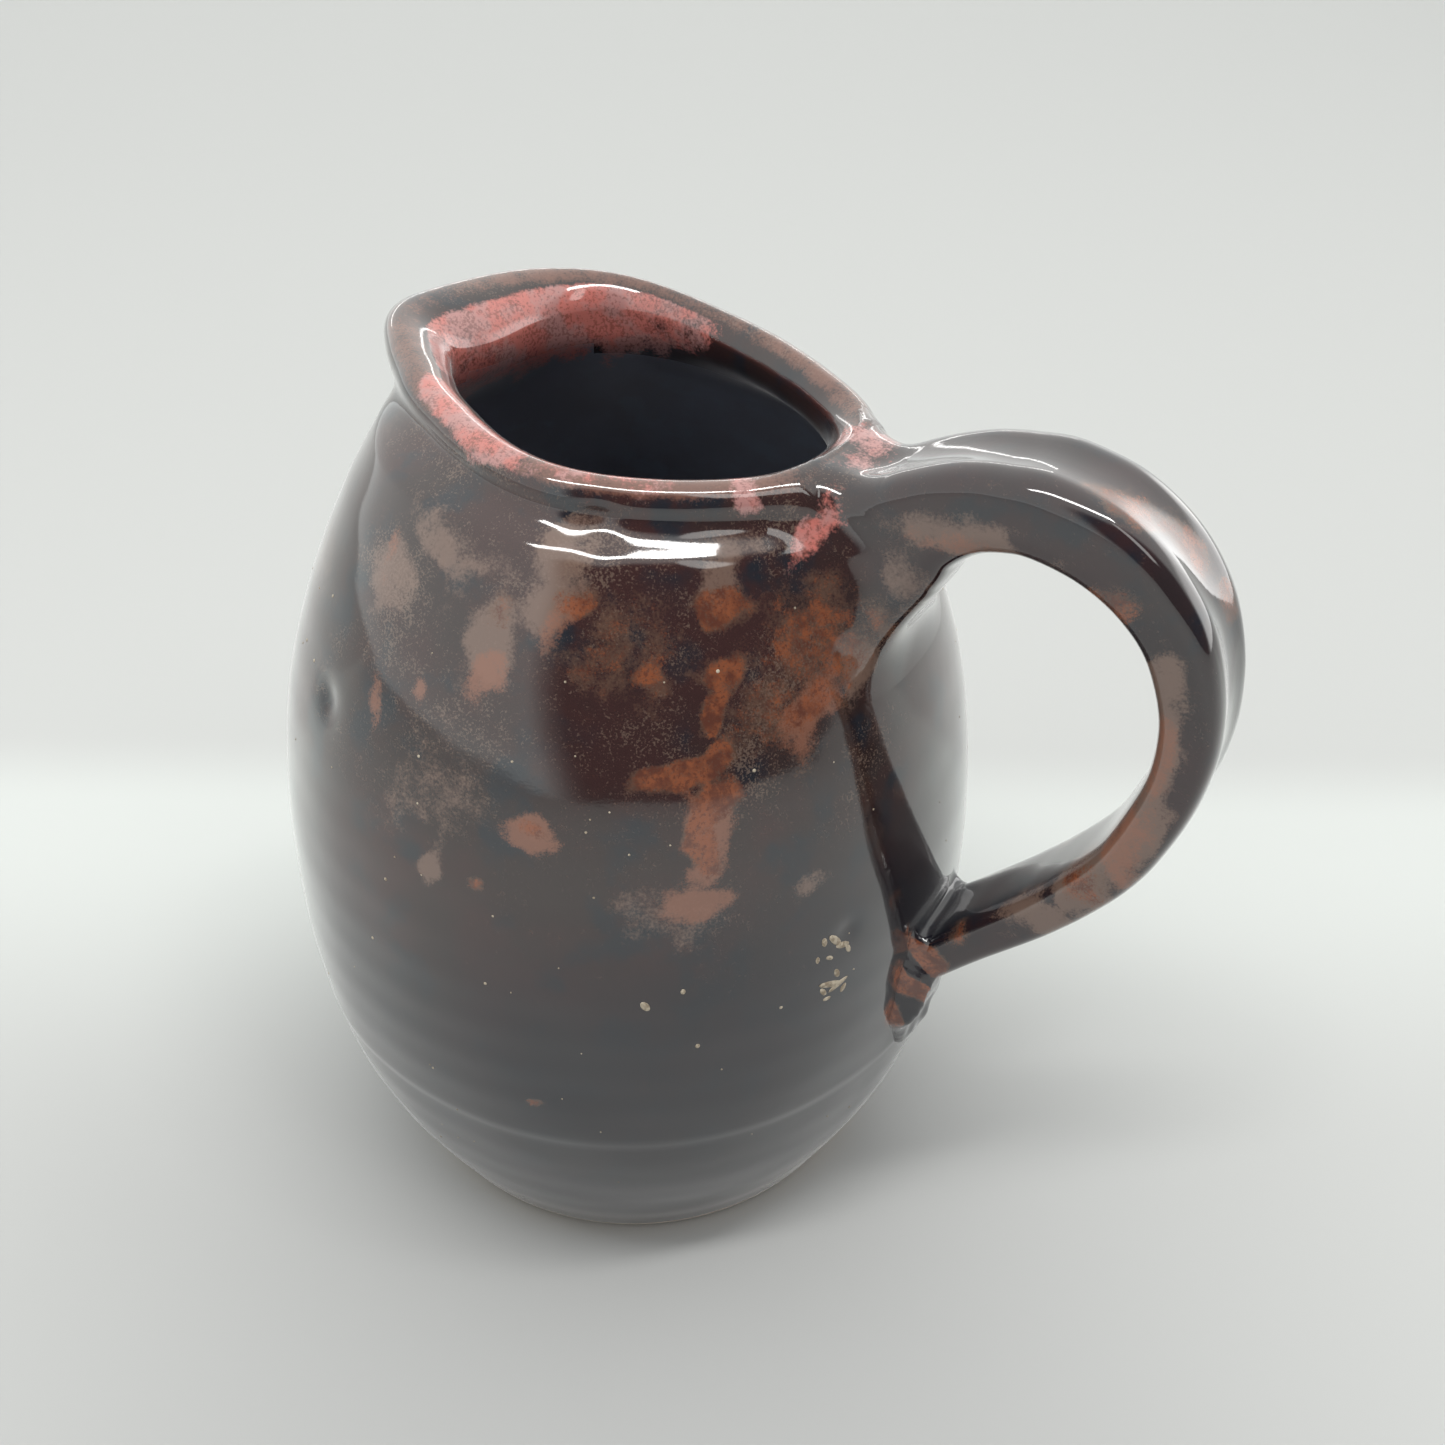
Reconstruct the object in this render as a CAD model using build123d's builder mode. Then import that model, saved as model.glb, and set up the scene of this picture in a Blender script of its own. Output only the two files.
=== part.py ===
from build123d import *
from math import cos, pi, radians, sin, tan
import os

# A hand-thrown stoneware milk jug. Z is up from the table it stands on, the handle is on +X,
# the pouring lip is on -X, and the jug is the same on both sides of the XZ plane.
# Sizes are in millimetres.

# Thrown body: the outside of the pot, as turned
FOOT_RADIUS = 34.8
BELLY_RADIUS = 47.2
BELLY_HEIGHT = 48.0
NECK_RADIUS = 31.3
NECK_DROP = 9.1  # below the mouth, where the neck is measured
BELLY_FULLNESS = 2.2  # how late the wall turns in below the belly
SHOULDER_FULLNESS = 2.35  # how late the wall turns in above the belly
WALL = 4.2
FLOOR_THICKNESS = 6.0
FLOOR_CORNER = 9.0
FOOT_CORNER = 1.4

# Foot: the shallow hollow trimmed under the base, inside the ring the jug stands on
FOOT_RING_WIDTH = 6.5
FOOT_HOLLOW_DEPTH = 1.8

# Mouth: drawn out to a pouring lip at the front and a little at the back
MOUTH_HEIGHT = 117.9  # of the lip where it crosses the axis of the pot
MOUTH_TILT = 6.4  # degrees, higher at the pouring lip
PULL_DEPTH = 12.0  # how far below the mouth the pull starts
POURING_LIP_PULL = 7.0
BACK_PULL = 8.5
BEAK_SHARE = 0.14  # of the pull, for the point at its end
BEAK_TURN = 35.0  # degrees to each side of the front, where the point starts
COLLAR_SQUEEZE = 1.1  # how much narrower the collar under the lip is
COLLAR_DEPTH = 12.0  # from the mouth to where the squeeze starts
LIP_RADIUS = 2.5  # of the rolled edge, a little fuller than the wall

# Pulled strap handle: its side view, from the root under the lip to the tail on the belly
HANDLE_REACH = 76.9  # from the axis of the pot to the back of the grip
GRIP_HEIGHT = 94.0
GRIP_THICKNESS = 6.6
CROWN_HEIGHT = 120.2
CROWN_REACH = 54.0
CROWN_THICKNESS = 9.6
ROOT_TOP_HEIGHT = 111.5
ROOT_BOTTOM_HEIGHT = 95.5
TAIL_TOP_HEIGHT = 53.5
TAIL_THICKNESS = 5.4
TAIL_SLOPE = 43.0  # degrees below level, where the strap comes down onto the belly
STRAP_WIDTH = 14.0
STRAP_EDGE_ROUNDING = 1.9

# Clay that the potter adds at the two joins
COIL_MARGIN = 1.6  # how far the coil shows around the root of the strap
COIL_STAND_OFF = 2.6  # from the wall of the neck
COIL_ROUNDING = 1.3
PAD_WIDTH = 18.0
PAD_HEIGHT = 24.0
PAD_DROP = 3.5  # of its top, below where the strap meets the belly
PAD_STAND_OFF = 2.2
PAD_ROUNDING = 1.8

OUTLINE_POINTS = 20  # around one ring of the wall
BELLY_RINGS = 8
MOUTH_RINGS = 5
LIP_POINTS = 24  # around the rolled edge
BURIED = 3.0  # how far a piece starts inside the wall before it is cut back to it


def outside_radius(height):
    """Radius of the round pot at a height, before its mouth is drawn out."""
    if height < BELLY_HEIGHT:
        share = (BELLY_HEIGHT - height) / BELLY_HEIGHT
        return BELLY_RADIUS - (BELLY_RADIUS - FOOT_RADIUS) * share**BELLY_FULLNESS
    share = (height - BELLY_HEIGHT) / (MOUTH_HEIGHT - NECK_DROP - BELLY_HEIGHT)
    return BELLY_RADIUS - (BELLY_RADIUS - NECK_RADIUS) * share**SHOULDER_FULLNESS


def pull_share(height):
    """How much of the mouth's shape has come in at a height: 0 in the shoulder, 1 at the lip."""
    return max(0.0, 1 - (MOUTH_HEIGHT - height) / PULL_DEPTH) ** 1.3


def squeeze_share(height):
    """How much of the collar's squeeze has come in at a height."""
    share = min(1.0, max(0.0, 2 * (1 - (MOUTH_HEIGHT - height) / COLLAR_DEPTH)))
    return share * share * (3 - 2 * share)


def reach(angle, height):
    """Distance from the axis to the outside of the wall, at an angle from the handle."""
    back = max(0.0, cos(angle)) ** 5
    turn = max(0.0, abs(angle) - pi / 2)
    point = max(0.0, 1 - (pi / 2 - turn) / radians(BEAK_TURN))
    front = (1 - BEAK_SHARE) * sin(turn) ** 0.8 + BEAK_SHARE * point
    collar = outside_radius(height) - COLLAR_SQUEEZE * squeeze_share(height)
    return collar + pull_share(height) * (BACK_PULL * back + POURING_LIP_PULL * front)


def ring_points(height, inset):
    """Points of the wall's closed outline at a height, inset from the outside."""
    angles = [2 * pi * i / OUTLINE_POINTS - pi for i in range(OUTLINE_POINTS)]
    return [((reach(a, height) - inset) * cos(a), (reach(a, height) - inset) * sin(a)) for a in angles]


def ring_heights(low, high):
    """Heights of the rings that the wall is skinned over: wide apart on the belly, close at the mouth."""
    neck = MOUTH_HEIGHT - PULL_DEPTH
    belly_rings = [low + (neck - low) * i / BELLY_RINGS for i in range(BELLY_RINGS)]
    return belly_rings + [neck + (high - neck) * i / MOUTH_RINGS for i in range(MOUTH_RINGS + 1)]


def lip_point(angle):
    """Point on the middle of the wall where it meets the tilted plane under the rolled edge."""
    x = z = 0.0
    for _ in range(12):
        z = LIP_BASE_HEIGHT - x * tan(radians(MOUTH_TILT))
        x = (reach(angle, z) - WALL / 2) * cos(angle)
    return (x, (reach(angle, z) - WALL / 2) * sin(angle), z)


# The wall is skinned past the lip, then cut by the tilted plane that the rolled edge sits on
LIP_BASE_HEIGHT = MOUTH_HEIGHT - LIP_RADIUS
skin_top = MOUTH_HEIGHT + NECK_RADIUS * tan(radians(MOUTH_TILT)) + WALL
lip_plane = Plane(
    origin=(0, 0, LIP_BASE_HEIGHT),
    x_dir=(cos(radians(MOUTH_TILT)), 0, -sin(radians(MOUTH_TILT))),
    z_dir=(sin(radians(MOUTH_TILT)), 0, cos(radians(MOUTH_TILT))),
)

with BuildPart() as outside:
    for ring_height in ring_heights(0, skin_top):
        with BuildSketch(Plane.XY.offset(ring_height)):
            with BuildLine():
                Spline(ring_points(ring_height, 0), periodic=True)
            make_face()
    loft()

with BuildPart() as hollow:
    for ring_height in ring_heights(FLOOR_THICKNESS, skin_top):
        with BuildSketch(Plane.XY.offset(ring_height)):
            with BuildLine():
                Spline(ring_points(ring_height, WALL), periodic=True)
            make_face()
    loft()
    fillet(hollow.faces().sort_by(Axis.Z)[0].edges(), FLOOR_CORNER)

# ---------------------------------------------------------------- thrown body
foot_hollow_radius = FOOT_RADIUS - FOOT_RING_WIDTH

with BuildPart() as thrown_body:
    add(outside.part)
    add(hollow.part, mode=Mode.SUBTRACT)
    split(bisect_by=lip_plane, keep=Keep.BOTTOM)
    with BuildLine():
        # Its seam lies a little round from the wall's own seam, so that the two surfaces cross cleanly
        lip_line = Spline([lip_point(2 * pi * (i + 0.3) / LIP_POINTS - pi) for i in range(LIP_POINTS)], periodic=True)
    with BuildSketch(Plane(origin=lip_line @ 0, z_dir=lip_line % 0)):
        Circle(LIP_RADIUS)
    sweep(path=lip_line)
    fillet(thrown_body.faces().filter_by(Plane.XY).sort_by(Axis.Z)[0].edges(), FOOT_CORNER)
    with BuildSketch(Plane.XY):
        Circle(foot_hollow_radius)
    extrude(amount=FOOT_HOLLOW_DEPTH, taper=30, mode=Mode.SUBTRACT)
thrown_body.part.label = "thrown_body"


# ---------------------------------------------------------------- strap handle
strap_edge_top = (outside_radius(ROOT_TOP_HEIGHT) - BURIED, ROOT_TOP_HEIGHT - BURIED)
strap_edge_bottom = (outside_radius(ROOT_BOTTOM_HEIGHT) - BURIED, ROOT_BOTTOM_HEIGHT - BURIED)
tail_direction = (-cos(radians(TAIL_SLOPE)), -sin(radians(TAIL_SLOPE)))
tail_inner = (outside_radius(TAIL_TOP_HEIGHT) - BURIED, TAIL_TOP_HEIGHT - BURIED)
tail_outer = (
    tail_inner[0] + TAIL_THICKNESS * sin(radians(TAIL_SLOPE)),
    tail_inner[1] - TAIL_THICKNESS * cos(radians(TAIL_SLOPE)),
)

with BuildPart() as strap_handle:
    with BuildSketch(Plane.XZ.offset(-STRAP_WIDTH / 2)):
        with BuildLine():
            back_of_strap = Spline(
                strap_edge_top,
                (CROWN_REACH, CROWN_HEIGHT),
                (HANDLE_REACH, GRIP_HEIGHT),
                tail_outer,
                tangents=[(1, 0.75), (1, 0), (0, -1), tail_direction],
            )
            finger_side = Spline(
                strap_edge_bottom,
                (CROWN_REACH, CROWN_HEIGHT - CROWN_THICKNESS),
                (HANDLE_REACH - GRIP_THICKNESS, GRIP_HEIGHT - GRIP_THICKNESS),
                tail_inner,
                tangents=[(0.3, 1), (1, 0), (0, -1), tail_direction],
            )
            Line(back_of_strap @ 1, finger_side @ 1)
            Line(back_of_strap @ 0, finger_side @ 0)
        make_face()
    extrude(amount=STRAP_WIDTH)
    side_faces = strap_handle.faces().filter_by(Plane.XZ)
    fillet(side_faces.edges().filter_by(GeomType.BSPLINE), STRAP_EDGE_ROUNDING)
    add(outside.part, mode=Mode.SUBTRACT)
    add(thrown_body.part, mode=Mode.SUBTRACT)
strap_handle.part.label = "strap_handle"

# ------------------------------------------- coil pressed round the upper root
root_top_radius = reach(0, ROOT_TOP_HEIGHT)
root_bottom_radius = reach(0, ROOT_BOTTOM_HEIGHT)
root_height = ROOT_TOP_HEIGHT - ROOT_BOTTOM_HEIGHT
root_plane = Plane(
    origin=((root_top_radius + root_bottom_radius) / 2, 0, (ROOT_TOP_HEIGHT + ROOT_BOTTOM_HEIGHT) / 2),
    x_dir=(0, 1, 0),
    z_dir=(root_height, 0, root_bottom_radius - root_top_radius),
)

with BuildPart() as upper_join_coil:
    with BuildSketch(root_plane.offset(-WALL)):
        SlotCenterToCenter(root_height - STRAP_WIDTH / 2, STRAP_WIDTH + 2 * COIL_MARGIN, rotation=90)
    extrude(amount=WALL + COIL_STAND_OFF)
    fillet(upper_join_coil.faces().sort_by(Axis(root_plane.origin, root_plane.z_dir))[-1].edges(), COIL_ROUNDING)
    add(outside.part, mode=Mode.SUBTRACT)
    add(thrown_body.part, mode=Mode.SUBTRACT)
    add(strap_handle.part, mode=Mode.SUBTRACT)
upper_join_coil.part.label = "upper_join_coil"

# --------------------------------------- pad smeared under the tail of the strap
pad_height = TAIL_TOP_HEIGHT - PAD_DROP - PAD_HEIGHT / 2
pad_low_radius = outside_radius(pad_height - PAD_HEIGHT / 2)
pad_high_radius = outside_radius(pad_height + PAD_HEIGHT / 2)
pad_plane = Plane(
    origin=(outside_radius(pad_height), 0, pad_height),
    x_dir=(0, 1, 0),
    z_dir=(PAD_HEIGHT, 0, pad_low_radius - pad_high_radius),
)

with BuildPart() as lower_join_pad:
    with BuildSketch(pad_plane.offset(-WALL)):
        Ellipse(PAD_WIDTH / 2, PAD_HEIGHT / 2)
    extrude(amount=WALL + PAD_STAND_OFF)
    fillet(lower_join_pad.faces().sort_by(Axis(pad_plane.origin, pad_plane.z_dir))[-1].edges(), PAD_ROUNDING)
    add(outside.part, mode=Mode.SUBTRACT)
    add(strap_handle.part, mode=Mode.SUBTRACT)
lower_join_pad.part.label = "lower_join_pad"

os.makedirs("parts", exist_ok=True)
for piece in (thrown_body, strap_handle, upper_join_coil, lower_join_pad):
    export_step(piece.part, f"parts/{piece.part.label}.step")
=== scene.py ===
"""A hand-thrown milk jug with a pulled strap handle: its looks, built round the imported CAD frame."""

import itertools
import logging
import math
from dataclasses import dataclass
from enum import Enum

import bpy
import numpy as np
from mathutils import Matrix, Vector


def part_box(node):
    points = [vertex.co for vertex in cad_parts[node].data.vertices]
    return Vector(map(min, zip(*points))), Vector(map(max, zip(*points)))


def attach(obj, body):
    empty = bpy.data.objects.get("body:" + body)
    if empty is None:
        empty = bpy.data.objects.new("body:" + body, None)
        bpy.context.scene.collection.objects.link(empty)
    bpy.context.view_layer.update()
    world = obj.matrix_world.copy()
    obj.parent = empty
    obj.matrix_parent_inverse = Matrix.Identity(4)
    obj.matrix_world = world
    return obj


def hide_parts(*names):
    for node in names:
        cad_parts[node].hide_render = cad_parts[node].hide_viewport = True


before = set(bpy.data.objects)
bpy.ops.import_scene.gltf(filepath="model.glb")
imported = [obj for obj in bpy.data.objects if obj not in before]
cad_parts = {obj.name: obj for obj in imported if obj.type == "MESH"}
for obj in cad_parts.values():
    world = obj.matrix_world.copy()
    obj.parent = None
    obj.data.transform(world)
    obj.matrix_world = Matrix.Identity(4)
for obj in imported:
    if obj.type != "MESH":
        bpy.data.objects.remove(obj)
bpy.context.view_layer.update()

log = logging.getLogger("milk_jug")
Socket = bpy.types.NodeSocket

MM = 0.001  # the shapes are worked out in millimetres and made in metres
BODY = "root"


def smoothstep(low: float, high: float, value: np.ndarray) -> np.ndarray:
    """Eases from 0 at low to 1 at high.

    Args:
        low: Value at which the result leaves 0.
        high: Value at which the result reaches 1.
        value: Numbers to ease.

    Returns:
        Numbers from 0 to 1.
    """
    t = np.clip((np.asarray(value, float) - low) / (high - low), 0.0, 1.0)
    return t * t * (3 - 2 * t)


def clay_noise(points: np.ndarray, size: float, seed: int) -> np.ndarray:
    """Smooth random numbers in space, the same for the same place and seed.

    Args:
        points: Places, with x, y and z last, in millimetres.
        size: Distance over which the numbers change, in millimetres.
        seed: Which pattern to use.

    Returns:
        One number from -1 to 1 for each point.
    """
    scaled = np.asarray(points, float) / size
    cell = np.floor(scaled).astype(np.int64)
    t = scaled - cell
    t = t * t * (3 - 2 * t)
    total = np.zeros(scaled.shape[:-1])
    for corner in itertools.product((0, 1), repeat=3):
        key = cell + np.array(corner)
        mixed = key[..., 0] * 374761393 + key[..., 1] * 668265263 + key[..., 2] * 2147483629 + seed * 974711
        mixed = mixed & 0xFFFFFFFF
        mixed = ((mixed ^ (mixed >> 13)) * 1274126177) & 0xFFFFFFFF
        mixed = (mixed ^ (mixed >> 16)) & 0xFFFFFF
        share = np.prod(np.where(np.array(corner) == 1, t, 1 - t), axis=-1)
        total += share * (mixed / 0xFFFFFF)
    return 2 * total - 1


@dataclass(frozen=True)
class JugForm:
    """Shape of the thrown wall, in millimetres. Z is up, the handle is on +X and the pouring lip near -X."""

    belly_radius: float
    mouth_height: float
    foot_radius: float = 34.8
    belly_height: float = 48.0
    neck_radius: float = 31.3
    neck_height: float = 108.8
    mouth_tilt: float = math.radians(6.4)
    wall: float = 4.2
    lip_radius: float = 2.6
    belly_fullness: float = 2.2
    shoulder_fullness: float = 2.35
    collar_depth: float = 4.6
    # Middle of the lip, as the hand drew it: degrees from the handle, distance from the axis
    lip_line: tuple = (
        (-178, 31.2), (-172, 30.4), (-163, 27.4), (-148, 24.1), (-132, 22.6), (-118, 21.8), (-102, 22.4), (-86, 23.7),
        (-75, 24.5), (-62, 24.9), (-51, 25.0), (-36, 25.8), (-21, 27.3), (-9, 28.0), (3, 28.6), (17, 28.9),
        (29, 27.3), (43, 24.7), (59, 23.1), (77, 22.8), (93, 23.6), (107, 25.7), (118, 28.0), (128, 29.8),
        (139, 30.6), (150, 30.8), (163, 30.4), (174, 30.5),
    )
    spout_angle: float = math.radians(170)
    spout_spread: float = math.radians(34)
    ring_spacing: float = 6.3  # of the throwing rings
    ring_height: float = 0.03
    trim_line: float = 33.4  # where the trimming of the foot stopped
    trim_step: float = 0.16
    # Dents in the wall: degrees from the handle, height, radius, depth
    dents: tuple = (
        (-114.3, 86.2, 2.2, 0.7), (-62.7, 111.4, 2.4, 0.75), (-17.0, 96.0, 1.8, 0.5), (-24.0, 63.0, 1.5, 0.35),
    )

    @classmethod
    def from_frame(cls) -> "JugForm":
        """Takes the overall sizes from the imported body.

        Returns:
            The form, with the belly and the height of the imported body.
        """
        low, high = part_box("thrown_body")
        belly = (high.y - low.y) / 2 / MM
        return cls(belly_radius=belly, mouth_height=high.z / MM - 4.0)

    def round_radius(self, z: np.ndarray) -> np.ndarray:
        """Radius of the round pot at a height, before its mouth is drawn out.

        Args:
            z: Heights.

        Returns:
            Radii in millimetres.
        """
        below = np.clip((self.belly_height - z) / self.belly_height, 0, None)
        above = np.clip((z - self.belly_height) / (self.neck_height - self.belly_height), 0, None)
        foot_side = self.belly_radius - (self.belly_radius - self.foot_radius) * below**self.belly_fullness
        neck_side = self.belly_radius - (self.belly_radius - self.neck_radius) * above**self.shoulder_fullness
        return np.where(z < self.belly_height, foot_side, neck_side)

    def lip_centre(self, angle: np.ndarray) -> tuple:
        """Distance from the axis and height of the middle of the rolled lip, at an angle from the handle.

        Args:
            angle: Directions from the handle, anticlockwise from above, in radians.

        Returns:
            Distances and heights in millimetres.
        """
        line = np.array(self.lip_line)
        wrapped = np.vstack([line - [360, 0], line, line + [360, 0]])
        even = np.radians(np.arange(-540, 540, 2.0))
        rho = np.interp(np.degrees(even), wrapped[:, 0], wrapped[:, 1])
        kernel = np.exp(-0.5 * (np.arange(-8, 9) / 2.2) ** 2)
        rho = np.convolve(rho, kernel / kernel.sum(), mode="same")
        rho = np.interp(angle, even, rho)
        z = self.mouth_height - self.lip_radius - rho * np.cos(angle) * math.tan(self.mouth_tilt)
        return rho, z

    def spout_share(self, angle: np.ndarray) -> np.ndarray:
        """1 in the trough of the pouring lip, 0 away from it."""
        away = (angle - self.spout_angle + math.pi) % (2 * math.pi) - math.pi
        return np.exp(-((away / self.spout_spread) ** 2))

    def reach(self, angle: np.ndarray, z: np.ndarray) -> np.ndarray:
        """Distance from the axis to the outside of the wall.

        Args:
            angle: Direction from the handle, anticlockwise from above, from -pi to pi.
            z: Height.

        Returns:
            Distance in millimetres.
        """
        rho, lip_z = self.lip_centre(angle)
        collar = 1 - smoothstep(0.4, self.collar_depth, lip_z - z)
        return self.round_radius(z) * (1 - collar) + (rho + self.wall / 2) * collar

    def lumps(self, points: np.ndarray) -> np.ndarray:
        """How far the hand left the wall from its even shape, in millimetres.

        Args:
            points: Places, with x, y and z last, in millimetres.

        Returns:
            Distances outwards, negative where it is pressed in.
        """
        x, y, z = points[..., 0], points[..., 1], points[..., 2]
        angle = np.arctan2(y, x)
        rings = self.ring_height * np.sin(2 * math.pi * z / self.ring_spacing + angle)
        rings = rings * (0.5 + 0.5 * clay_noise(points, 30, 11))
        step = self.trim_step * smoothstep(-0.7, 0.7, z - self.trim_line - 0.5 * np.sin(3 * angle + 1.0))
        hand = rings + step + 0.34 * clay_noise(points, 24, 12) + 0.10 * clay_noise(points, 9, 13)
        for degrees, height, radius, depth in self.dents:
            middle = math.radians(degrees)
            across = ((angle - middle + math.pi) % (2 * math.pi) - math.pi) * np.hypot(x, y)
            hand = hand - depth * np.exp(-((across**2 + (z - height) ** 2) / radius**2))
        return smoothstep(0.5, 6.0, z) * hand

    def outside_distance(self, points: np.ndarray) -> np.ndarray:
        """Roughly how far points are outside the wall, in millimetres: negative within it and inside the jug.

        Args:
            points: Places, with x, y and z last, in millimetres.

        Returns:
            One distance for each point.
        """
        angle = np.arctan2(points[..., 1], points[..., 0])
        rho = np.hypot(points[..., 0], points[..., 1])
        lip_rho, lip_z = self.lip_centre(angle)
        z = points[..., 2]
        wall = 0.88 * (rho - self.reach(angle, z) - self.lumps(points))
        lip = np.hypot(rho - lip_rho, z - lip_z) - self.lip_radius
        return np.where(z < lip_z, np.minimum(wall, lip), lip)


@dataclass(frozen=True)
class HandleForm:
    """Side view and section of the pulled strap, in millimetres."""

    # Middle of the strap from the root to the tail: distance from the axis, height, thickness, width
    spine: tuple = (
        (32.5, 103.3, 17.0, 15.5), (36.1, 105.2, 16.4, 15.5), (38.6, 108.0, 14.8, 15.2),
        (41.7, 111.1, 12.4, 15.2), (46.0, 113.7, 10.6, 15.4), (50.4, 114.9, 9.6, 15.6),
        (54.6, 115.1, 9.4, 15.6), (61.0, 113.3, 9.2, 15.2), (66.7, 109.4, 8.6, 14.6),
        (70.9, 103.9, 7.8, 13.8), (73.4, 96.0, 7.1, 13.0), (73.5, 88.2, 6.7, 12.8),
        (71.6, 80.3, 6.5, 12.9), (68.4, 72.7, 6.3, 13.3), (61.9, 63.8, 6.2, 13.8),
        (54.2, 55.5, 6.2, 14.2), (48.2, 49.2, 6.3, 15.0), (45.8, 46.6, 6.4, 15.4),
    )
    channel: float = 0.75  # depth down its back
    side_power: float = 4.2
    face_power: float = 4.4

    def line(self, stations: int) -> tuple:
        """Even stations down the strap and the direction that its back faces at each.

        Args:
            stations: How many to give.

        Returns:
            Rows of x, z, thickness and width, and rows of x and z of the direction.
        """
        line = catmull(np.array(self.spine), stations)
        tangent = np.gradient(line[:, :2], axis=0)
        tangent /= np.linalg.norm(tangent, axis=1, keepdims=True)
        return line, np.stack([-tangent[:, 1], tangent[:, 0]], -1)

    def dip(self, across: np.ndarray, half_width: np.ndarray) -> np.ndarray:
        """Depth of the channel down the back."""
        return self.channel * np.clip(1 - (across / (0.62 * half_width)) ** 2, 0, None) ** 1.5

    def swell(self, points: np.ndarray) -> np.ndarray:
        """How far the pull left the strap from its even shape."""
        return 0.16 * clay_noise(points, 11, 31) + 0.06 * clay_noise(points, 4, 32)

    def outside_distance(self, points: np.ndarray) -> np.ndarray:
        """Roughly how far points are outside the strap, in millimetres.

        Args:
            points: Places, with x, y and z last, in millimetres.

        Returns:
            One distance for each point, negative within the strap.
        """
        line, outward = self.line(1000)
        flat = points.reshape(-1, 3)
        keys, back = np.unique(np.round(flat[:, [0, 2]], 4), axis=0, return_inverse=True)
        gap = (keys[:, None, 0] - line[None, :, 0]) ** 2 + (keys[:, None, 1] - line[None, :, 1]) ** 2
        nearest = gap.argmin(1)
        v = ((keys - line[nearest, :2]) * outward[nearest]).sum(1)[back.ravel()]
        nearest = nearest[back.ravel()]
        half_t, half_w = line[nearest, 2] / 2, line[nearest, 3] / 2
        u = flat[:, 1]
        v = np.where(v > 0, v + self.dip(u, half_w), v)
        size = (np.abs(u) / half_w) ** self.side_power + (np.abs(v) / half_t) ** self.face_power
        value = (size ** (1 / self.face_power) - 1) * np.minimum(half_t, half_w) - self.swell(flat)
        return value.reshape(points.shape[:-1])


def catmull(points: np.ndarray, count: int) -> np.ndarray:
    """Evenly spaced points on a smooth line through the points given.

    Args:
        points: Rows of numbers to pass through.
        count: How many rows to return.

    Returns:
        Rows of numbers, evenly spaced along the line.
    """
    p = np.vstack([2 * points[0] - points[1], points, 2 * points[-1] - points[-2]])
    t = np.linspace(0, 1, 24, endpoint=False)[:, None]
    spans = []
    for a, b, c, d in zip(p[:-3], p[1:-2], p[2:-1], p[3:]):
        square, cube = (2 * a - 5 * b + 4 * c - d) * t**2, (3 * b - a - 3 * c + d) * t**3
        spans.append(0.5 * (2 * b + (c - a) * t + square + cube))
    line = np.vstack(spans + [points[-1:]])
    along = np.concatenate([[0], np.cumsum(np.linalg.norm(np.diff(line[:, :2], axis=0), axis=1))])
    wanted = np.linspace(0, along[-1], count)
    return np.stack([np.interp(wanted, along, line[:, k]) for k in range(line.shape[1])], -1)


def grid_faces(rows: int, columns: int) -> np.ndarray:
    """Four-sided faces of a closed tube of points, row after row, facing outwards when rows climb.

    Args:
        rows: How many rows of points.
        columns: How many points go round in each.

    Returns:
        Four point numbers for each face.
    """
    r, c = np.meshgrid(np.arange(rows - 1), np.arange(columns), indexing="ij")
    nxt = (c + 1) % columns
    quad = np.stack([r * columns + c, r * columns + nxt, (r + 1) * columns + nxt, (r + 1) * columns + c], -1)
    return quad.reshape(-1, 4)


def add_object(name: str, data: bpy.types.ID) -> bpy.types.Object:
    """Puts a mesh or a camera into the scene.

    Args:
        name: Its name.
        data: The mesh or the camera.

    Returns:
        The new object, at the origin.
    """
    item = bpy.data.objects.new(name, data)
    bpy.context.scene.collection.objects.link(item)
    return item


def settle(piece: bpy.types.Object) -> None:
    """Lets a finished piece ride on the jug, and reports it.

    Args:
        piece: The piece.
    """
    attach(piece, BODY)
    log.info("%s: %d vertices, %d faces", piece.name, len(piece.data.vertices), len(piece.data.polygons))


def make_piece(name: str, points: np.ndarray, faces: list, nodes: list, glaze: "GlazeMarks",
               inside: np.ndarray | float = 0.0) -> bpy.types.Object:
    """Makes one finished piece from points in millimetres, with its glaze masks.

    Args:
        name: Name of the piece.
        points: Places of its vertices, in millimetres.
        faces: Vertex numbers of each face.
        nodes: CAD nodes that it stands for.
        glaze: Marks that colour it.
        inside: 1 for each point on the inside of the jug, 0 outside.

    Returns:
        The new object, riding on the jug's one body.
    """
    mesh = bpy.data.meshes.new(name)
    mesh.from_pydata((points * MM).tolist(), [], [tuple(int(i) for i in f) for f in faces])
    mesh.polygons.foreach_set("use_smooth", np.ones(len(mesh.polygons), bool))
    mesh.validate()
    for mask, values in glaze.masks(points, inside).items():
        layer = mesh.attributes.new(mask, "FLOAT", "POINT")
        layer.data.foreach_set("value", values.astype(np.float32))
    piece = add_object(name, mesh)
    settle(piece)
    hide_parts(*nodes)
    return piece


class Mark(Enum):
    """What a mark in the glaze is."""

    RUST = "rust"  # iron breaking to orange-brown
    CORAL = "coral"  # thin pink-red glaze about the mouth
    SALMON = "salmon"  # paler, thinner break than rust
    CLOUD = "cloud"  # pale brown bloom
    DUST = "dust"  # how thick the fine speckle is
    DEEP = "deep"  # dark maroon or black pools
    VEIL = "veil"  # even slate glaze
    RIM = "rim"  # glaze thinned over an edge
    BARE = "bare"  # clay without glaze


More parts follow.
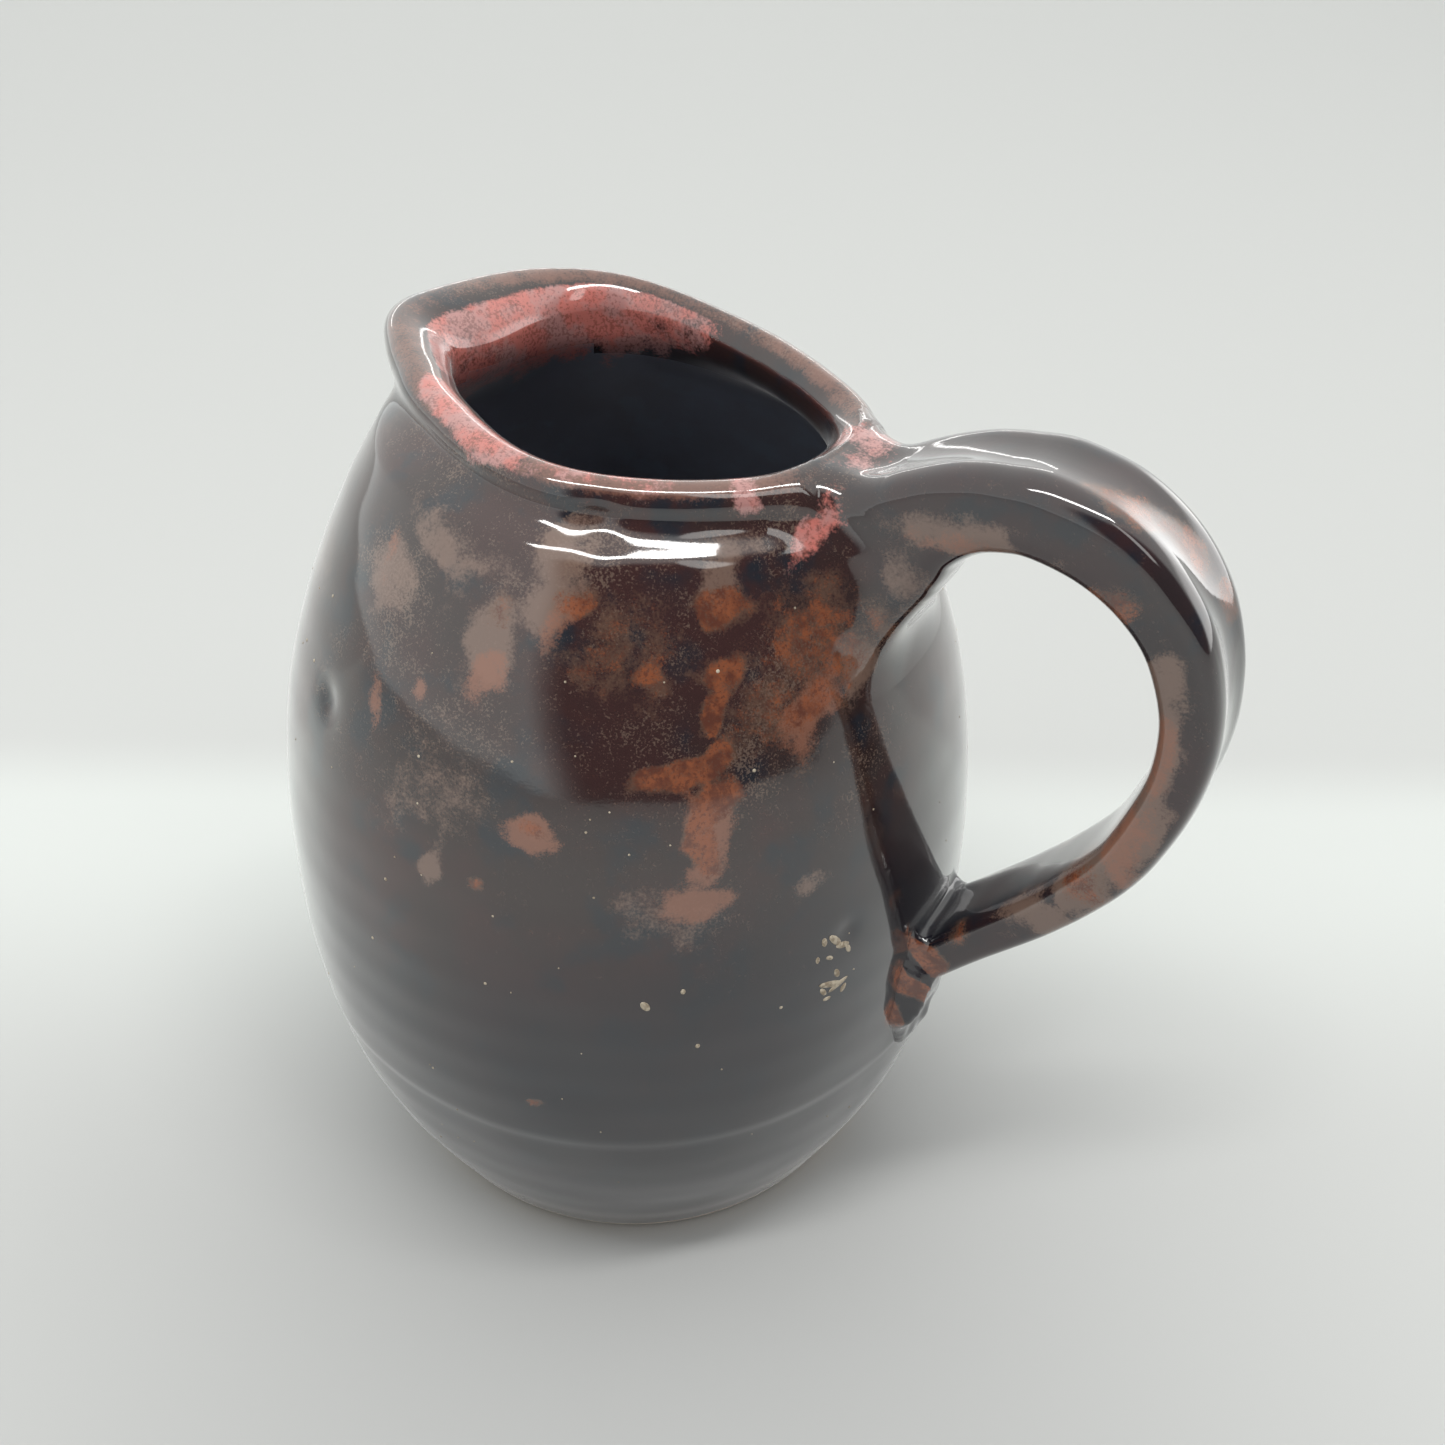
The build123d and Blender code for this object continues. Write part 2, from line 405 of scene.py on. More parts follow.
@dataclass(frozen=True)
class WallMark:
    """One patch in the glaze of the outside of the wall."""

    kind: Mark
    angle: float  # degrees from the handle
    height: float  # mm
    across: float  # half its width, mm
    along: float  # half its height, mm
    turn: float = 0.0  # degrees
    strength: float = 1.0


@dataclass(frozen=True)
class StrapMark:
    """One patch in the glaze of the handle, as a stretched ball."""

    kind: Mark
    place: tuple  # mm
    size: tuple  # half its size in x, y and z, mm
    strength: float = 1.0


@dataclass
class GlazeMarks:
    """Where the glaze breaks to another colour, as masks that every piece shares."""

    form: JugForm
    wall_marks: list
    strap_marks: list
    # Coral glaze that ran down inside the mouth: degrees from the handle, how far down in millimetres
    coral_depth: tuple = (
        (80, -4), (98, 4.5), (112, 7.5), (130, 9.0), (150, 10.5), (175, 13.5), (200, 12.0), (222, -4),
    )
    # How strong it is there: degrees from the handle, share
    coral_flush: tuple = ((90, 0.55), (115, 0.72), (140, 0.95), (175, 0.9), (215, 0.95))
    # Heights from which a field grows to its full strength
    dust_zone: tuple = (52, 100)
    veil_zone: tuple = (78, 50)
    bare_zone: tuple = (2.6, 1.7)

    def masks(self, points: np.ndarray, inside: np.ndarray | float) -> dict:
        """Values from 0 to 1 of every mask at the points given.

        Args:
            points: Places in millimetres.
            inside: 1 for each point on the inside of the jug, 0 outside.

        Returns:
            One array for each kind of mark, by name.
        """
        angle = np.arctan2(points[:, 1], points[:, 0])
        radius = np.hypot(points[:, 0], points[:, 1])
        z = points[:, 2]
        inside = np.zeros(len(points)) + inside
        off_wall = smoothstep(2.5, 6.0, self.form.outside_distance(points)) * (1 - inside)
        edge = 0.38 * clay_noise(points, 3.4, 5) + 0.30 * clay_noise(points, 1.7, 6)
        shift_u, shift_v = 1.5 * clay_noise(points, 4.6, 7), 1.5 * clay_noise(points, 4.6, 8)
        result = {kind.value: np.zeros(len(points)) for kind in Mark}
        for mark in self.wall_marks:
            turn = math.radians(mark.turn)
            du = (angle - math.radians(mark.angle) + math.pi) % (2 * math.pi) - math.pi
            du = du * radius + shift_u * min(1.0, mark.across / 2.4)
            dv = z - mark.height + shift_v * min(1.0, mark.along / 2.4)
            u = (du * math.cos(turn) + dv * math.sin(turn)) / mark.across
            v = (dv * math.cos(turn) - du * math.sin(turn)) / mark.along
            value = mark.strength * (1 - smoothstep(0.35, 1.55, np.hypot(u, v) + edge))
            value = value * (1 - inside) * (1 - off_wall)
            result[mark.kind.value] = np.maximum(result[mark.kind.value], value)
        for mark in self.strap_marks:
            far = np.linalg.norm((points - np.array(mark.place)) / np.array(mark.size), axis=1)
            value = mark.strength * (1 - smoothstep(0.35, 1.55, far + edge)) * off_wall
            result[mark.kind.value] = np.maximum(result[mark.kind.value], value)
        self.add_fields(result, points, angle, z, inside, off_wall)
        return result

    def add_fields(self, result: dict, points: np.ndarray, angle: np.ndarray, z: np.ndarray, inside: np.ndarray,
                   off_wall: np.ndarray) -> None:
        """Adds what runs all round the jug: the speckle, the thinned rim, the even lower zone and the bare foot.

        Args:
            result: The masks so far, by name, which it adds to.
            points: Places in millimetres.
            angle: Directions from the handle, anticlockwise from above, in radians.
            z: Heights.
            inside: 1 on the inside of the jug, 0 outside.
            off_wall: 1 on the strap, 0 on the wall.
        """
        slow = clay_noise(points, 17, 41)
        quick = clay_noise(points, 6.5, 42)
        wave = 4.0 * clay_noise(points * [1, 1, 0], 16, 43)
        outer = 1 - inside
        dust = smoothstep(*self.dust_zone, z + 10 * slow) * (0.45 + 0.3 * quick) * (1 - 0.55 * off_wall)
        result["dust"] = np.clip(np.maximum(result["dust"], dust * outer), 0, 1)
        veil = smoothstep(*self.veil_zone, z + 2.0 * wave) * outer * (1 - off_wall)
        result["veil"] = np.clip(np.maximum(result["veil"], np.maximum(0.9 * veil, 0.4 * off_wall)), 0, 1)
        lip_rho, lip_z = self.form.lip_centre(angle)
        turned = np.degrees(angle) % 360
        depth = np.interp(turned, *zip(*self.coral_depth))
        depth = depth + 2.6 * clay_noise(points * [1, 1, 0.35], 3.0, 44)
        depth = depth + 1.2 * clay_noise(points * [1, 1, 0.2], 1.2, 45)
        flush = np.interp(turned, *zip(*self.coral_flush))
        flush = flush * (0.88 + 0.30 * clay_noise(points * [1, 1, 0.4], 5.0, 46))
        result["coral"] = np.maximum(result["coral"], flush * inside * smoothstep(1.5, -2.5, lip_z - z - depth))
        over = np.hypot(np.hypot(points[:, 0], points[:, 1]) - lip_rho, z - lip_z)
        rim = smoothstep(3.1, 1.6, np.abs(over - 1.2)) * smoothstep(0.6, 2.2, z - lip_z) * (1 - off_wall)
        result["rim"] = np.clip(np.maximum(result["rim"], rim * (0.75 + 0.35 * slow)), 0, 1)
        result["bare"] = np.maximum(result["bare"], smoothstep(*self.bare_zone, z + 0.12 * wave))


@dataclass
class ThrownBody:
    """The thrown wall, its rolled lip, floor and trimmed foot, as one closed surface."""

    form: JugForm
    columns: int = 384
    outer_rows: int = 150
    lip_rows: int = 20
    inner_rows: int = 44
    foot_corner: float = 1.6
    ring_width: float = 6.5
    foot_hollow: float = 1.8
    floor: float = 6.0
    floor_corner: float = 14.0
    ring_rows: int = 7
    corner_rows: int = 8
    # Below this depth under the lip the inside takes its second finish: the inside glaze lightened and blued with
    # painted light for the shaded interior
    painted_light_depth: float = 6.0  # how far below the lip the dark glaze of the inside starts
    # Where the rows under the foot and on the floor inside lie, as shares of their radius
    under_shares: tuple = (0.04, 0.25, 0.5, 0.75, 0.93)
    floor_shares: tuple = (0.85, 0.6, 0.35, 0.12)

    def profile(self, angle: np.ndarray) -> tuple:
        """Distances from the axis and heights, row by row from under the foot to the floor inside.

        Args:
            angle: Directions from the handle, anticlockwise from above, in radians.

        Returns:
            Distances and heights, with one row for each ring of points.
        """
        form = self.form
        rho_lip, z_lip = form.lip_centre(angle)
        trough = form.spout_share(angle)
        far_side = smoothstep(0.2, 0.8, np.sin(angle)) * (1 - trough)
        lip_in = form.lip_radius + 1.0 + 4.0 * trough - 1.2 * far_side
        lip_drop = form.lip_radius + 0.8 + 2.6 * trough
        rows = []
        foot = form.foot_radius
        hollow = foot - self.ring_width
        for share in self.under_shares:
            rows.append((hollow * share, self.foot_hollow))
        for t in np.linspace(0, 1, self.ring_rows):
            rows.append((hollow - 1.0 + 2.2 * t, self.foot_hollow * (1 - smoothstep(0, 1, t))))
        corner = self.foot_corner
        for t in np.linspace(0, math.pi / 2, self.corner_rows):
            rim = foot + (form.round_radius(np.array(corner)) - foot) * (1 - math.cos(t))
            rows.append((rim - corner + corner * math.sin(t), corner * (1 - math.cos(t))))
        for t in np.linspace(0, 1, self.outer_rows)[1:]:
            z = corner + (z_lip - corner) * (1 - (1 - t) ** 1.12)
            bead = (form.lip_radius - form.wall / 2) * smoothstep(5.0, 0.0, z_lip - z)
            rows.append((form.reach(angle, z) + bead, z))
        for t in np.linspace(0, math.pi, self.lip_rows)[1:]:
            if t <= math.pi / 2:
                rows.append((rho_lip + form.lip_radius * math.cos(t), z_lip + form.lip_radius * math.sin(t)))
            else:
                run, fall = math.cos(math.pi - t) ** 1.25, 1 - math.sin(t) ** 1.25
                rows.append((rho_lip - lip_in * run, z_lip + form.lip_radius - lip_drop * fall))
        top_in, z_in = rho_lip - lip_in, z_lip + form.lip_radius - lip_drop
        for t in np.linspace(0, 1, self.inner_rows)[1:]:
            z = z_in + (self.floor + self.floor_corner - z_in) * t**1.15
            plain = form.reach(angle, z) - form.wall
            blend = smoothstep(0, 1, (z_in - z) / 10.0)
            rows.append((top_in * (1 - blend) + plain * blend, z))
        base = form.reach(angle, np.array(self.floor + self.floor_corner)) - form.wall
        corner = self.floor_corner
        for t in np.linspace(0, math.pi / 2, 12)[1:]:
            rows.append((base - corner * (1 - math.cos(t)), self.floor + corner * (1 - math.sin(t))))
        for share in self.floor_shares:
            rows.append(((base - corner) * share, self.floor + 0.4 * (1 - share)))
        rho = np.array([r + 0 * angle for r, _ in rows])
        height = np.array([z + 0 * angle for _, z in rows])
        return rho, height

    def build(self, glaze: GlazeMarks) -> bpy.types.Object:
        """Makes the mesh of the body, with the inside below the lip as its second material.

        Args:
            glaze: Marks that colour it.

        Returns:
            The finished piece, without its materials.
        """
        angle = np.linspace(-math.pi, math.pi, self.columns, endpoint=False)
        rho, z = self.profile(angle)
        points = np.stack([rho * np.cos(angle), rho * np.sin(angle), z], -1)
        outer_last = len(self.under_shares) + self.ring_rows + self.corner_rows + (self.outer_rows - 1)
        inner_first = outer_last + (self.lip_rows - 1)
        weight = np.ones(len(rho))
        weight[outer_last:inner_first] = np.linspace(1, 0.3, inner_first - outer_last)
        weight[inner_first:] = 0.3
        rho = rho + weight[:, None] * self.form.lumps(points)
        points = np.stack([rho * np.cos(angle), rho * np.sin(angle), z], -1).reshape(-1, 3)
        inside = np.zeros(len(rho))
        inside[outer_last + self.lip_rows // 2 + 3 :] = 1.0
        inside = np.append(np.repeat(inside, self.columns), [0, 1])
        faces = list(grid_faces(len(rho), self.columns))
        under, bottom = len(points), len(points) + 1
        points = np.vstack([points, [0, 0, self.foot_hollow], [0, 0, z[-1].mean()]])
        last = (len(rho) - 1) * self.columns
        for c in range(self.columns):
            nxt = (c + 1) % self.columns
            faces.append((under, nxt, c))
            faces.append((bottom, last + c, last + nxt))
        body = make_piece("jug_body", points, faces, ["thrown_body"], glaze, inside)
        _, lip_z = self.form.lip_centre(np.arctan2(points[:, 1], points[:, 0]))
        # Faces deep inside take the second finish, which carries painted light
        deep = inside * (lip_z - points[:, 2] > self.painted_light_depth)
        slots = [int(min(deep[list(face)]) > 0.5) for face in faces]
        body.data.polygons.foreach_set("material_index", slots)
        return body


@dataclass
class StrapHandle:
    """The pulled strap, thick at its root, with a shallow channel down its back."""

    form: HandleForm
    stations: int = 190
    around: int = 72

    def section(self, thickness: float, width: float) -> np.ndarray:
        """Closed outline of the strap: across it, then out from its finger side to its back.

        Args:
            thickness: Its thickness there.
            width: Its width there.

        Returns:
            One row for each point round it.
        """
        half_w, half_t = width / 2, thickness / 2
        angle = np.linspace(0, 2 * math.pi, self.around, endpoint=False)
        c, s = np.cos(angle), np.sin(angle)
        u = half_w * np.sign(c) * np.abs(c) ** (2 / self.form.side_power)
        v = half_t * np.sign(s) * np.abs(s) ** (2 / self.form.face_power)
        v = np.where(v > 0, v - self.form.dip(u, half_w), v)
        return np.stack([u, v], -1)

    def build(self, glaze: GlazeMarks) -> bpy.types.Object:
        """Makes the mesh of the strap, closed at both buried ends.

        Args:
            glaze: Marks that colour it.

        Returns:
            The finished piece, without its materials.
        """
        line, outward = self.form.line(self.stations)
        rings = []
        for (x, z, thickness, width), normal in zip(line, outward):
            outline = self.section(thickness, width)
            px = x + outline[:, 1] * normal[0]
            pz = z + outline[:, 1] * normal[1]
            rings.append(np.stack([px, outline[:, 0], pz], -1))
        points = np.array(rings).reshape(-1, 3)
        middle = np.repeat(np.stack([line[:, 0], 0 * line[:, 0], line[:, 1]], -1), self.around, axis=0)
        away = points - middle
        away /= np.linalg.norm(away, axis=1, keepdims=True)
        points = points + away * self.form.swell(points)[:, None]
        faces = [tuple(f[::-1]) for f in grid_faces(self.stations, self.around)]
        first, last = len(points), len(points) + 1
        points = np.vstack([points, points[: self.around].mean(0), points[-self.around :].mean(0)])
        start = (self.stations - 1) * self.around
        for c in range(self.around):
            nxt = (c + 1) % self.around
            faces.append((first, c, nxt))
            faces.append((last, start + nxt, start + c))
        return make_piece("jug_handle", points, faces, ["strap_handle"], glaze)


def surface_net(value: np.ndarray, low: np.ndarray, step: float) -> tuple:
    """Closed skin of the region where a field is negative.

    Args:
        value: The field on a box of evenly spaced places, positive all round its outside.
        low: The first place.
        step: Distance between places.

    Returns:
        Points of the skin and its four-sided faces, facing out of the region.
    """
    filled = value < 0
    total = np.zeros(tuple(n - 1 for n in value.shape) + (3,))
    count = np.zeros(total.shape[:3])
    for axis in range(3):
        others = [a for a in range(3) if a != axis]
        for offsets in itertools.product((0, 1), repeat=2):
            first, second = [slice(0, -1)] * 3, [slice(0, -1)] * 3
            second[axis] = slice(1, None)
            for other, offset in zip(others, offsets):
                span = slice(offset, value.shape[other] - 1 + offset)
                first[other] = second[other] = span
            va, vb = value[tuple(first)], value[tuple(second)]
            crossed = (va < 0) != (vb < 0)
            t = np.where(crossed, va / np.where(crossed, va - vb, 1), 0)
            shift = np.zeros(total.shape)
            shift[..., axis] = t
            for other, offset in zip(others, offsets):
                shift[..., other] = offset
            total += shift * crossed[..., None]
            count += crossed
    used = count > 0
    number = np.cumsum(used.ravel()).reshape(used.shape) - 1
    cell = np.argwhere(used)
    points = low + step * (cell + total[used] / count[used][:, None])
    faces = []
    for axis in range(3):
        b, c = (axis + 1) % 3, (axis + 2) % 3
        low_side = np.moveaxis(filled, axis, 0)[:-1]
        high_side = np.moveaxis(filled, axis, 0)[1:]
        where = np.argwhere(np.moveaxis(low_side != high_side, 0, axis))
        where = where[(where[:, b] > 0) & (where[:, c] > 0)]
        where = where[(where[:, b] < used.shape[b]) & (where[:, c] < used.shape[c])]
        step_b, step_c = np.eye(3, dtype=int)[b], np.eye(3, dtype=int)[c]
        corners = [where - step_b - step_c, where - step_c, where, where - step_b]
        quad = np.stack([number[tuple(k.T)] for k in corners], -1)
        inward = filled[tuple(where.T)]
        faces.append(np.where(inward[:, None], quad, quad[:, ::-1]))
    return points, np.vstack(faces)


@dataclass
class JoinClay:
    """Soft clay worked into a join, flowing from the wall into the strap."""

    name: str
    node: str
    jug: JugForm
    strap: HandleForm
    low: tuple  # corner of the box that it lies in, mm
    high: tuple  # the corner across from it, mm
    blend: float  # how wide the hollow curve between the wall and the strap is, mm
    smeared: bool = False  # pressed down the belly past the end of the strap
    step: float = 0.5
    skin: float = 0.04  # how far it stays below the faces that it joins
    buried: float = 0.7  # how far it reaches into the wall
    sunk: float = 1.2  # how far it reaches into the strap
    # Half the width of the smeared clay at each height, and where its ragged end is
    smear_edge: tuple = ((28, 3.0), (32, 6.2), (36, 8.6), (41, 10.2), (45, 9.8), (50, 8.6), (56, 7.6), (62, 7.4))
    smear_end: float = 30.5

    def smear(self, points: np.ndarray) -> np.ndarray:
        """How thick the smeared clay stands on the wall at points, negative where there is none.

        Args:
            points: Places, with x, y and z last, in millimetres.

        Returns:
            Thicknesses in millimetres.
        """
        y, z = points[..., 1], points[..., 2]
        flat = points * np.array([0, 1, 1])
        half = np.interp(z, *zip(*self.smear_edge)) + 0.6 * clay_noise(flat, 4, 51)
        torn = self.smear_end + 3.2 * clay_noise(flat * np.array([0, 1, 0]), 2.2, 52)
        ridge = 2.1 * smoothstep(37, 44, z) * np.exp(-(((np.abs(y) - half + 1.5) / 1.0) ** 2))
        inside = smoothstep(0.3, -0.7, np.abs(y) - half) * smoothstep(-0.4, 0.6, z - torn)
        body = (0.9 + ridge + 0.35 * clay_noise(points, 2.4, 53)) * smoothstep(56, 45, z)
        return -1.2 + (body + 1.2) * inside

    def build(self, glaze: GlazeMarks) -> bpy.types.Object:
        """Makes the mesh of the clay.

        Args:
            glaze: Marks that colour it.

        Returns:
            The finished piece, without its materials.
        """
        axes = [np.arange(a, b, self.step) for a, b in zip(self.low, self.high)]
        points = np.stack(np.meshgrid(*axes, indexing="ij"), -1)
        wall = self.jug.outside_distance(points)
        strap = self.strap.outside_distance(points)
        near = wall - self.smear(points) if self.smeared else wall
        share = np.clip(0.5 + 0.5 * (strap - near) / self.blend, 0, 1)
        joined = strap * (1 - share) + near * share - self.blend * share * (1 - share)
        value = np.maximum(joined + self.skin, np.maximum(-(wall + self.buried), -(strap + self.sunk)))
        lip_rho, _ = self.jug.lip_centre(np.arctan2(points[..., 1], points[..., 0]))
        value = np.maximum(value, lip_rho - np.hypot(points[..., 0], points[..., 1]))
        for axis in range(3):
            for end in (0, -1):
                edge = [slice(None)] * 3
                edge[axis] = end
                value[tuple(edge)] = np.maximum(value[tuple(edge)], 0.3)
        skin, faces = surface_net(value, np.array(self.low), self.step)
        return make_piece(self.name, skin, list(faces), [self.node], glaze)


class Graph:
    """A shorter way to add nodes to a tree and join them."""

    def __init__(self, tree: bpy.types.NodeTree) -> None:
        """Takes the tree to add to."""
        self.tree = tree

    def node(self, kind: str, inputs: dict | None = None, **settings: object) -> bpy.types.Node:
        """Adds a node.

        Args:
            kind: Its type.
            inputs: What goes into it, by the name of the socket: a socket or a value.
            settings: Its own properties.

        Returns:
            The new node.
        """
        node = self.tree.nodes.new(kind)
        for name, value in settings.items():
            setattr(node, name, value)
        for name, value in (inputs or {}).items():
            self.feed(node.inputs[name], value)
        return node

    def feed(self, socket: Socket, value: object) -> None:
        """Joins a socket to another, or sets its value.

        Args:
            socket: The socket to feed.
            value: Another socket, or a value.
        """
        if isinstance(value, Socket):
            self.tree.links.new(value, socket)
        else:
            socket.default_value = value

    def math(self, operation: str, *values: object) -> Socket:
        """Adds a calculation on numbers.

        Args:
            operation: Its name.
            *values: What it works on, as numbers or sockets.

        Returns:
            The result.
        """
        node = self.node("ShaderNodeMath", operation=operation)
        for socket, value in zip(node.inputs, values):
            self.feed(socket, value)
        return node.outputs[0]

    def ease(self, value: object, low: object, high: object, top: float = 1.0) -> Socket:
        """Eases from 0 at low to top at high.

        Args:
            value: What to ease.
            low: Where the result leaves 0.
            high: Where it reaches top.
            top: Its largest value.

        Returns:
            The result.
        """
        node = self.node("ShaderNodeMapRange", interpolation_type="SMOOTHSTEP")
        for name, entry in (("Value", value), ("From Min", low), ("From Max", high), ("To Max", top)):
            self.feed(node.inputs[name], entry)
        return node.outputs[0]

    def mix(self, share: object, first: object, second: object) -> Socket:
        """Mixes two colours.

        Args:
            share: How much of the second colour there is.
            first: The first colour.
            second: The second colour.

        Returns:
            The colour that results.
        """
        node = self.node("ShaderNodeMix", data_type="RGBA")
        self.feed(node.inputs[0], share)
        self.feed(node.inputs[6], first)
        self.feed(node.inputs[7], second)
        return node.outputs[2]

    def noise(self, size: object, detail: float, rough: float) -> Socket:
        """Adds noise in the object's own space, with features of a size in millimetres.

        Args:
            size: Size of its features, as a number or a socket.
            detail: How many finer layers it has.
            rough: How strong the finer layers are.

        Returns:
            Numbers about 0.5.
        """
        place = self.node("ShaderNodeTexCoord").outputs["Object"]
        scale = self.math("DIVIDE", 1 / MM, size)
        settings = {"Vector": place, "Scale": scale, "Detail": detail, "Roughness": rough}
        return self.node("ShaderNodeTexNoise", settings).outputs["Fac"]

    def vector(self, operation: str, first: object, second: object) -> Socket:
        """Adds a calculation on two vectors that gives a number."""
        return self.node("ShaderNodeVectorMath", {0: first, 1: second}, operation=operation).outputs["Value"]

    def times(self, first: object, second: object) -> Socket:
        """Multiplies two numbers."""
        return self.math("MULTIPLY", first, second)

    def lay(self, base: object, share: object, strength: object, tone: object) -> Socket:
        """Lays a colour over another.

        Args:
            base: The colour below.
            share: Where it goes, from 0 to 1.
            strength: How much of the colour below it hides, as a number or a socket.
            tone: The colour on top, as three numbers or a socket.

        Returns:
            The colour that results.
        """
        on_top = colour(tone) if isinstance(tone, tuple) else tone
        return self.mix(self.times(share, strength), base, on_top)

    def mark(self, kind: Mark) -> Socket:
        """Reads one of the piece's own masks."""
        return self.node("ShaderNodeAttribute", attribute_name=kind.value).outputs["Fac"]

    def group(self, tree: bpy.types.NodeTree, **inputs: object) -> Socket:
        """Adds a node group and gives its first output.

        Args:
            tree: The group.
            **inputs: Values of its inputs, by name.

        Returns:
            Its first output.
        """
        node = self.node("ShaderNodeGroup", node_tree=tree)
        for name, value in inputs.items():
            self.feed(node.inputs[name], value)
        return node.outputs[0]


def colour(value: tuple) -> tuple:
    """A colour with full opacity."""
    return (*value, 1.0)


class GlazeEffects:
    """Effects that all the finishes share, each a node group that gives one mask or normal."""

    def __init__(self) -> None:
        """Makes the groups."""
        self.torn = self.make_torn()
        self.speckle = self.make_speckle()
        self.blotch = self.make_blotch()
        self.peel = self.make_peel()

    def start(self, name: str, inputs: dict, output: tuple = ("Mask", "NodeSocketFloat")) -> tuple:
        """Starts a group.

        Args:
            name: Name of the group.
            inputs: Default value of each input, by name.
            output: Name and socket type of the output.

        Returns:
            The graph, its input node and its output node.
        """
        tree = bpy.data.node_groups.new(name, "ShaderNodeTree")
        for key, value in inputs.items():
            tree.interface.new_socket(key, in_out="INPUT", socket_type="NodeSocketFloat").default_value = value
        tree.interface.new_socket(output[0], in_out="OUTPUT", socket_type=output[1])
        graph = Graph(tree)
        return graph, graph.node("NodeGroupInput"), graph.node("NodeGroupOutput")

    def make_torn(self) -> bpy.types.NodeTree:
        """A soft mask torn along its edge, as two glazes part.

        Returns:
            The node group.
        """
        inputs = {"Mask": 0.0, "Size": 1.6, "Tear": 1.0, "Softness": 0.16, "Level": 0.5}
        graph, entry, out = self.start("torn_edge", inputs)
        coarse = graph.noise(entry.outputs["Size"], 5.0, 0.66)
        grain = graph.noise(graph.times(entry.outputs["Size"], 0.16), 2.0, 0.7)
        fine = graph.times(graph.math("SUBTRACT", grain, 0.5), 0.8)
        uneven = graph.math("ADD", graph.math("SUBTRACT", coarse, 0.5), fine)
        tear = graph.times(uneven, entry.outputs["Tear"])
        value = graph.math("ADD", entry.outputs["Mask"], tear)
        low = graph.math("SUBTRACT", entry.outputs["Level"], entry.outputs["Softness"])
        high = graph.math("ADD", entry.outputs["Level"], entry.outputs["Softness"])
        graph.feed(out.inputs[0], graph.ease(value, low, high))
        return graph.tree

    def make_speckle(self) -> bpy.types.NodeTree:
        """Fine grains where the iron came out of the glaze.

        Returns:
            The node group.
        """
        graph, entry, out = self.start("speckle", {"Size": 0.5, "Cover": 0.5})
        grain = graph.noise(entry.outputs["Size"], 2.0, 0.7)
        patch = graph.noise(graph.times(entry.outputs["Size"], 7.0), 2.0, 0.5)
        bias = graph.times(graph.math("SUBTRACT", patch, 0.5), 0.35)
        level = graph.math("SUBTRACT", 0.76, graph.times(entry.outputs["Cover"], 0.34))
        value = graph.math("ADD", grain, bias)
        graph.feed(out.inputs[0], graph.ease(value, level, graph.math("ADD", level, 0.09)))
        return graph.tree

    def make_blotch(self) -> bpy.types.NodeTree:
        """Wide uneven pools, from 0 to 1.

        Returns:
            The node group.
        """
        graph, entry, out = self.start("blotch", {"Size": 14.0, "Low": 0.4, "High": 0.62})
        pools = graph.noise(entry.outputs["Size"], 5.0, 0.58)
        graph.feed(out.inputs[0], graph.ease(pools, entry.outputs["Low"], entry.outputs["High"]))
        return graph.tree

    def make_peel(self) -> bpy.types.NodeTree:
        """The slight unevenness of a fired glaze, with pinholes, as a normal.

        Returns:
            The node group.
        """
        inputs = {"Size": 2.6, "Height": 0.016, "Grain": 0.005}
        graph, entry, out = self.start("orange_peel", inputs, ("Normal", "NodeSocketVector"))
        wide = graph.noise(entry.outputs["Size"], 1.0, 0.4)
        fine = graph.noise(0.45, 1.0, 0.5)
        swell, grain = graph.times(wide, entry.outputs["Height"]), graph.times(fine, entry.outputs["Grain"])
        height = graph.math("ADD", swell, grain)
        bump = graph.node("ShaderNodeBump", {"Height": height, "Distance": MM, "Strength": 1.0})
        graph.feed(out.inputs[0], bump.outputs[0])
        return graph.tree


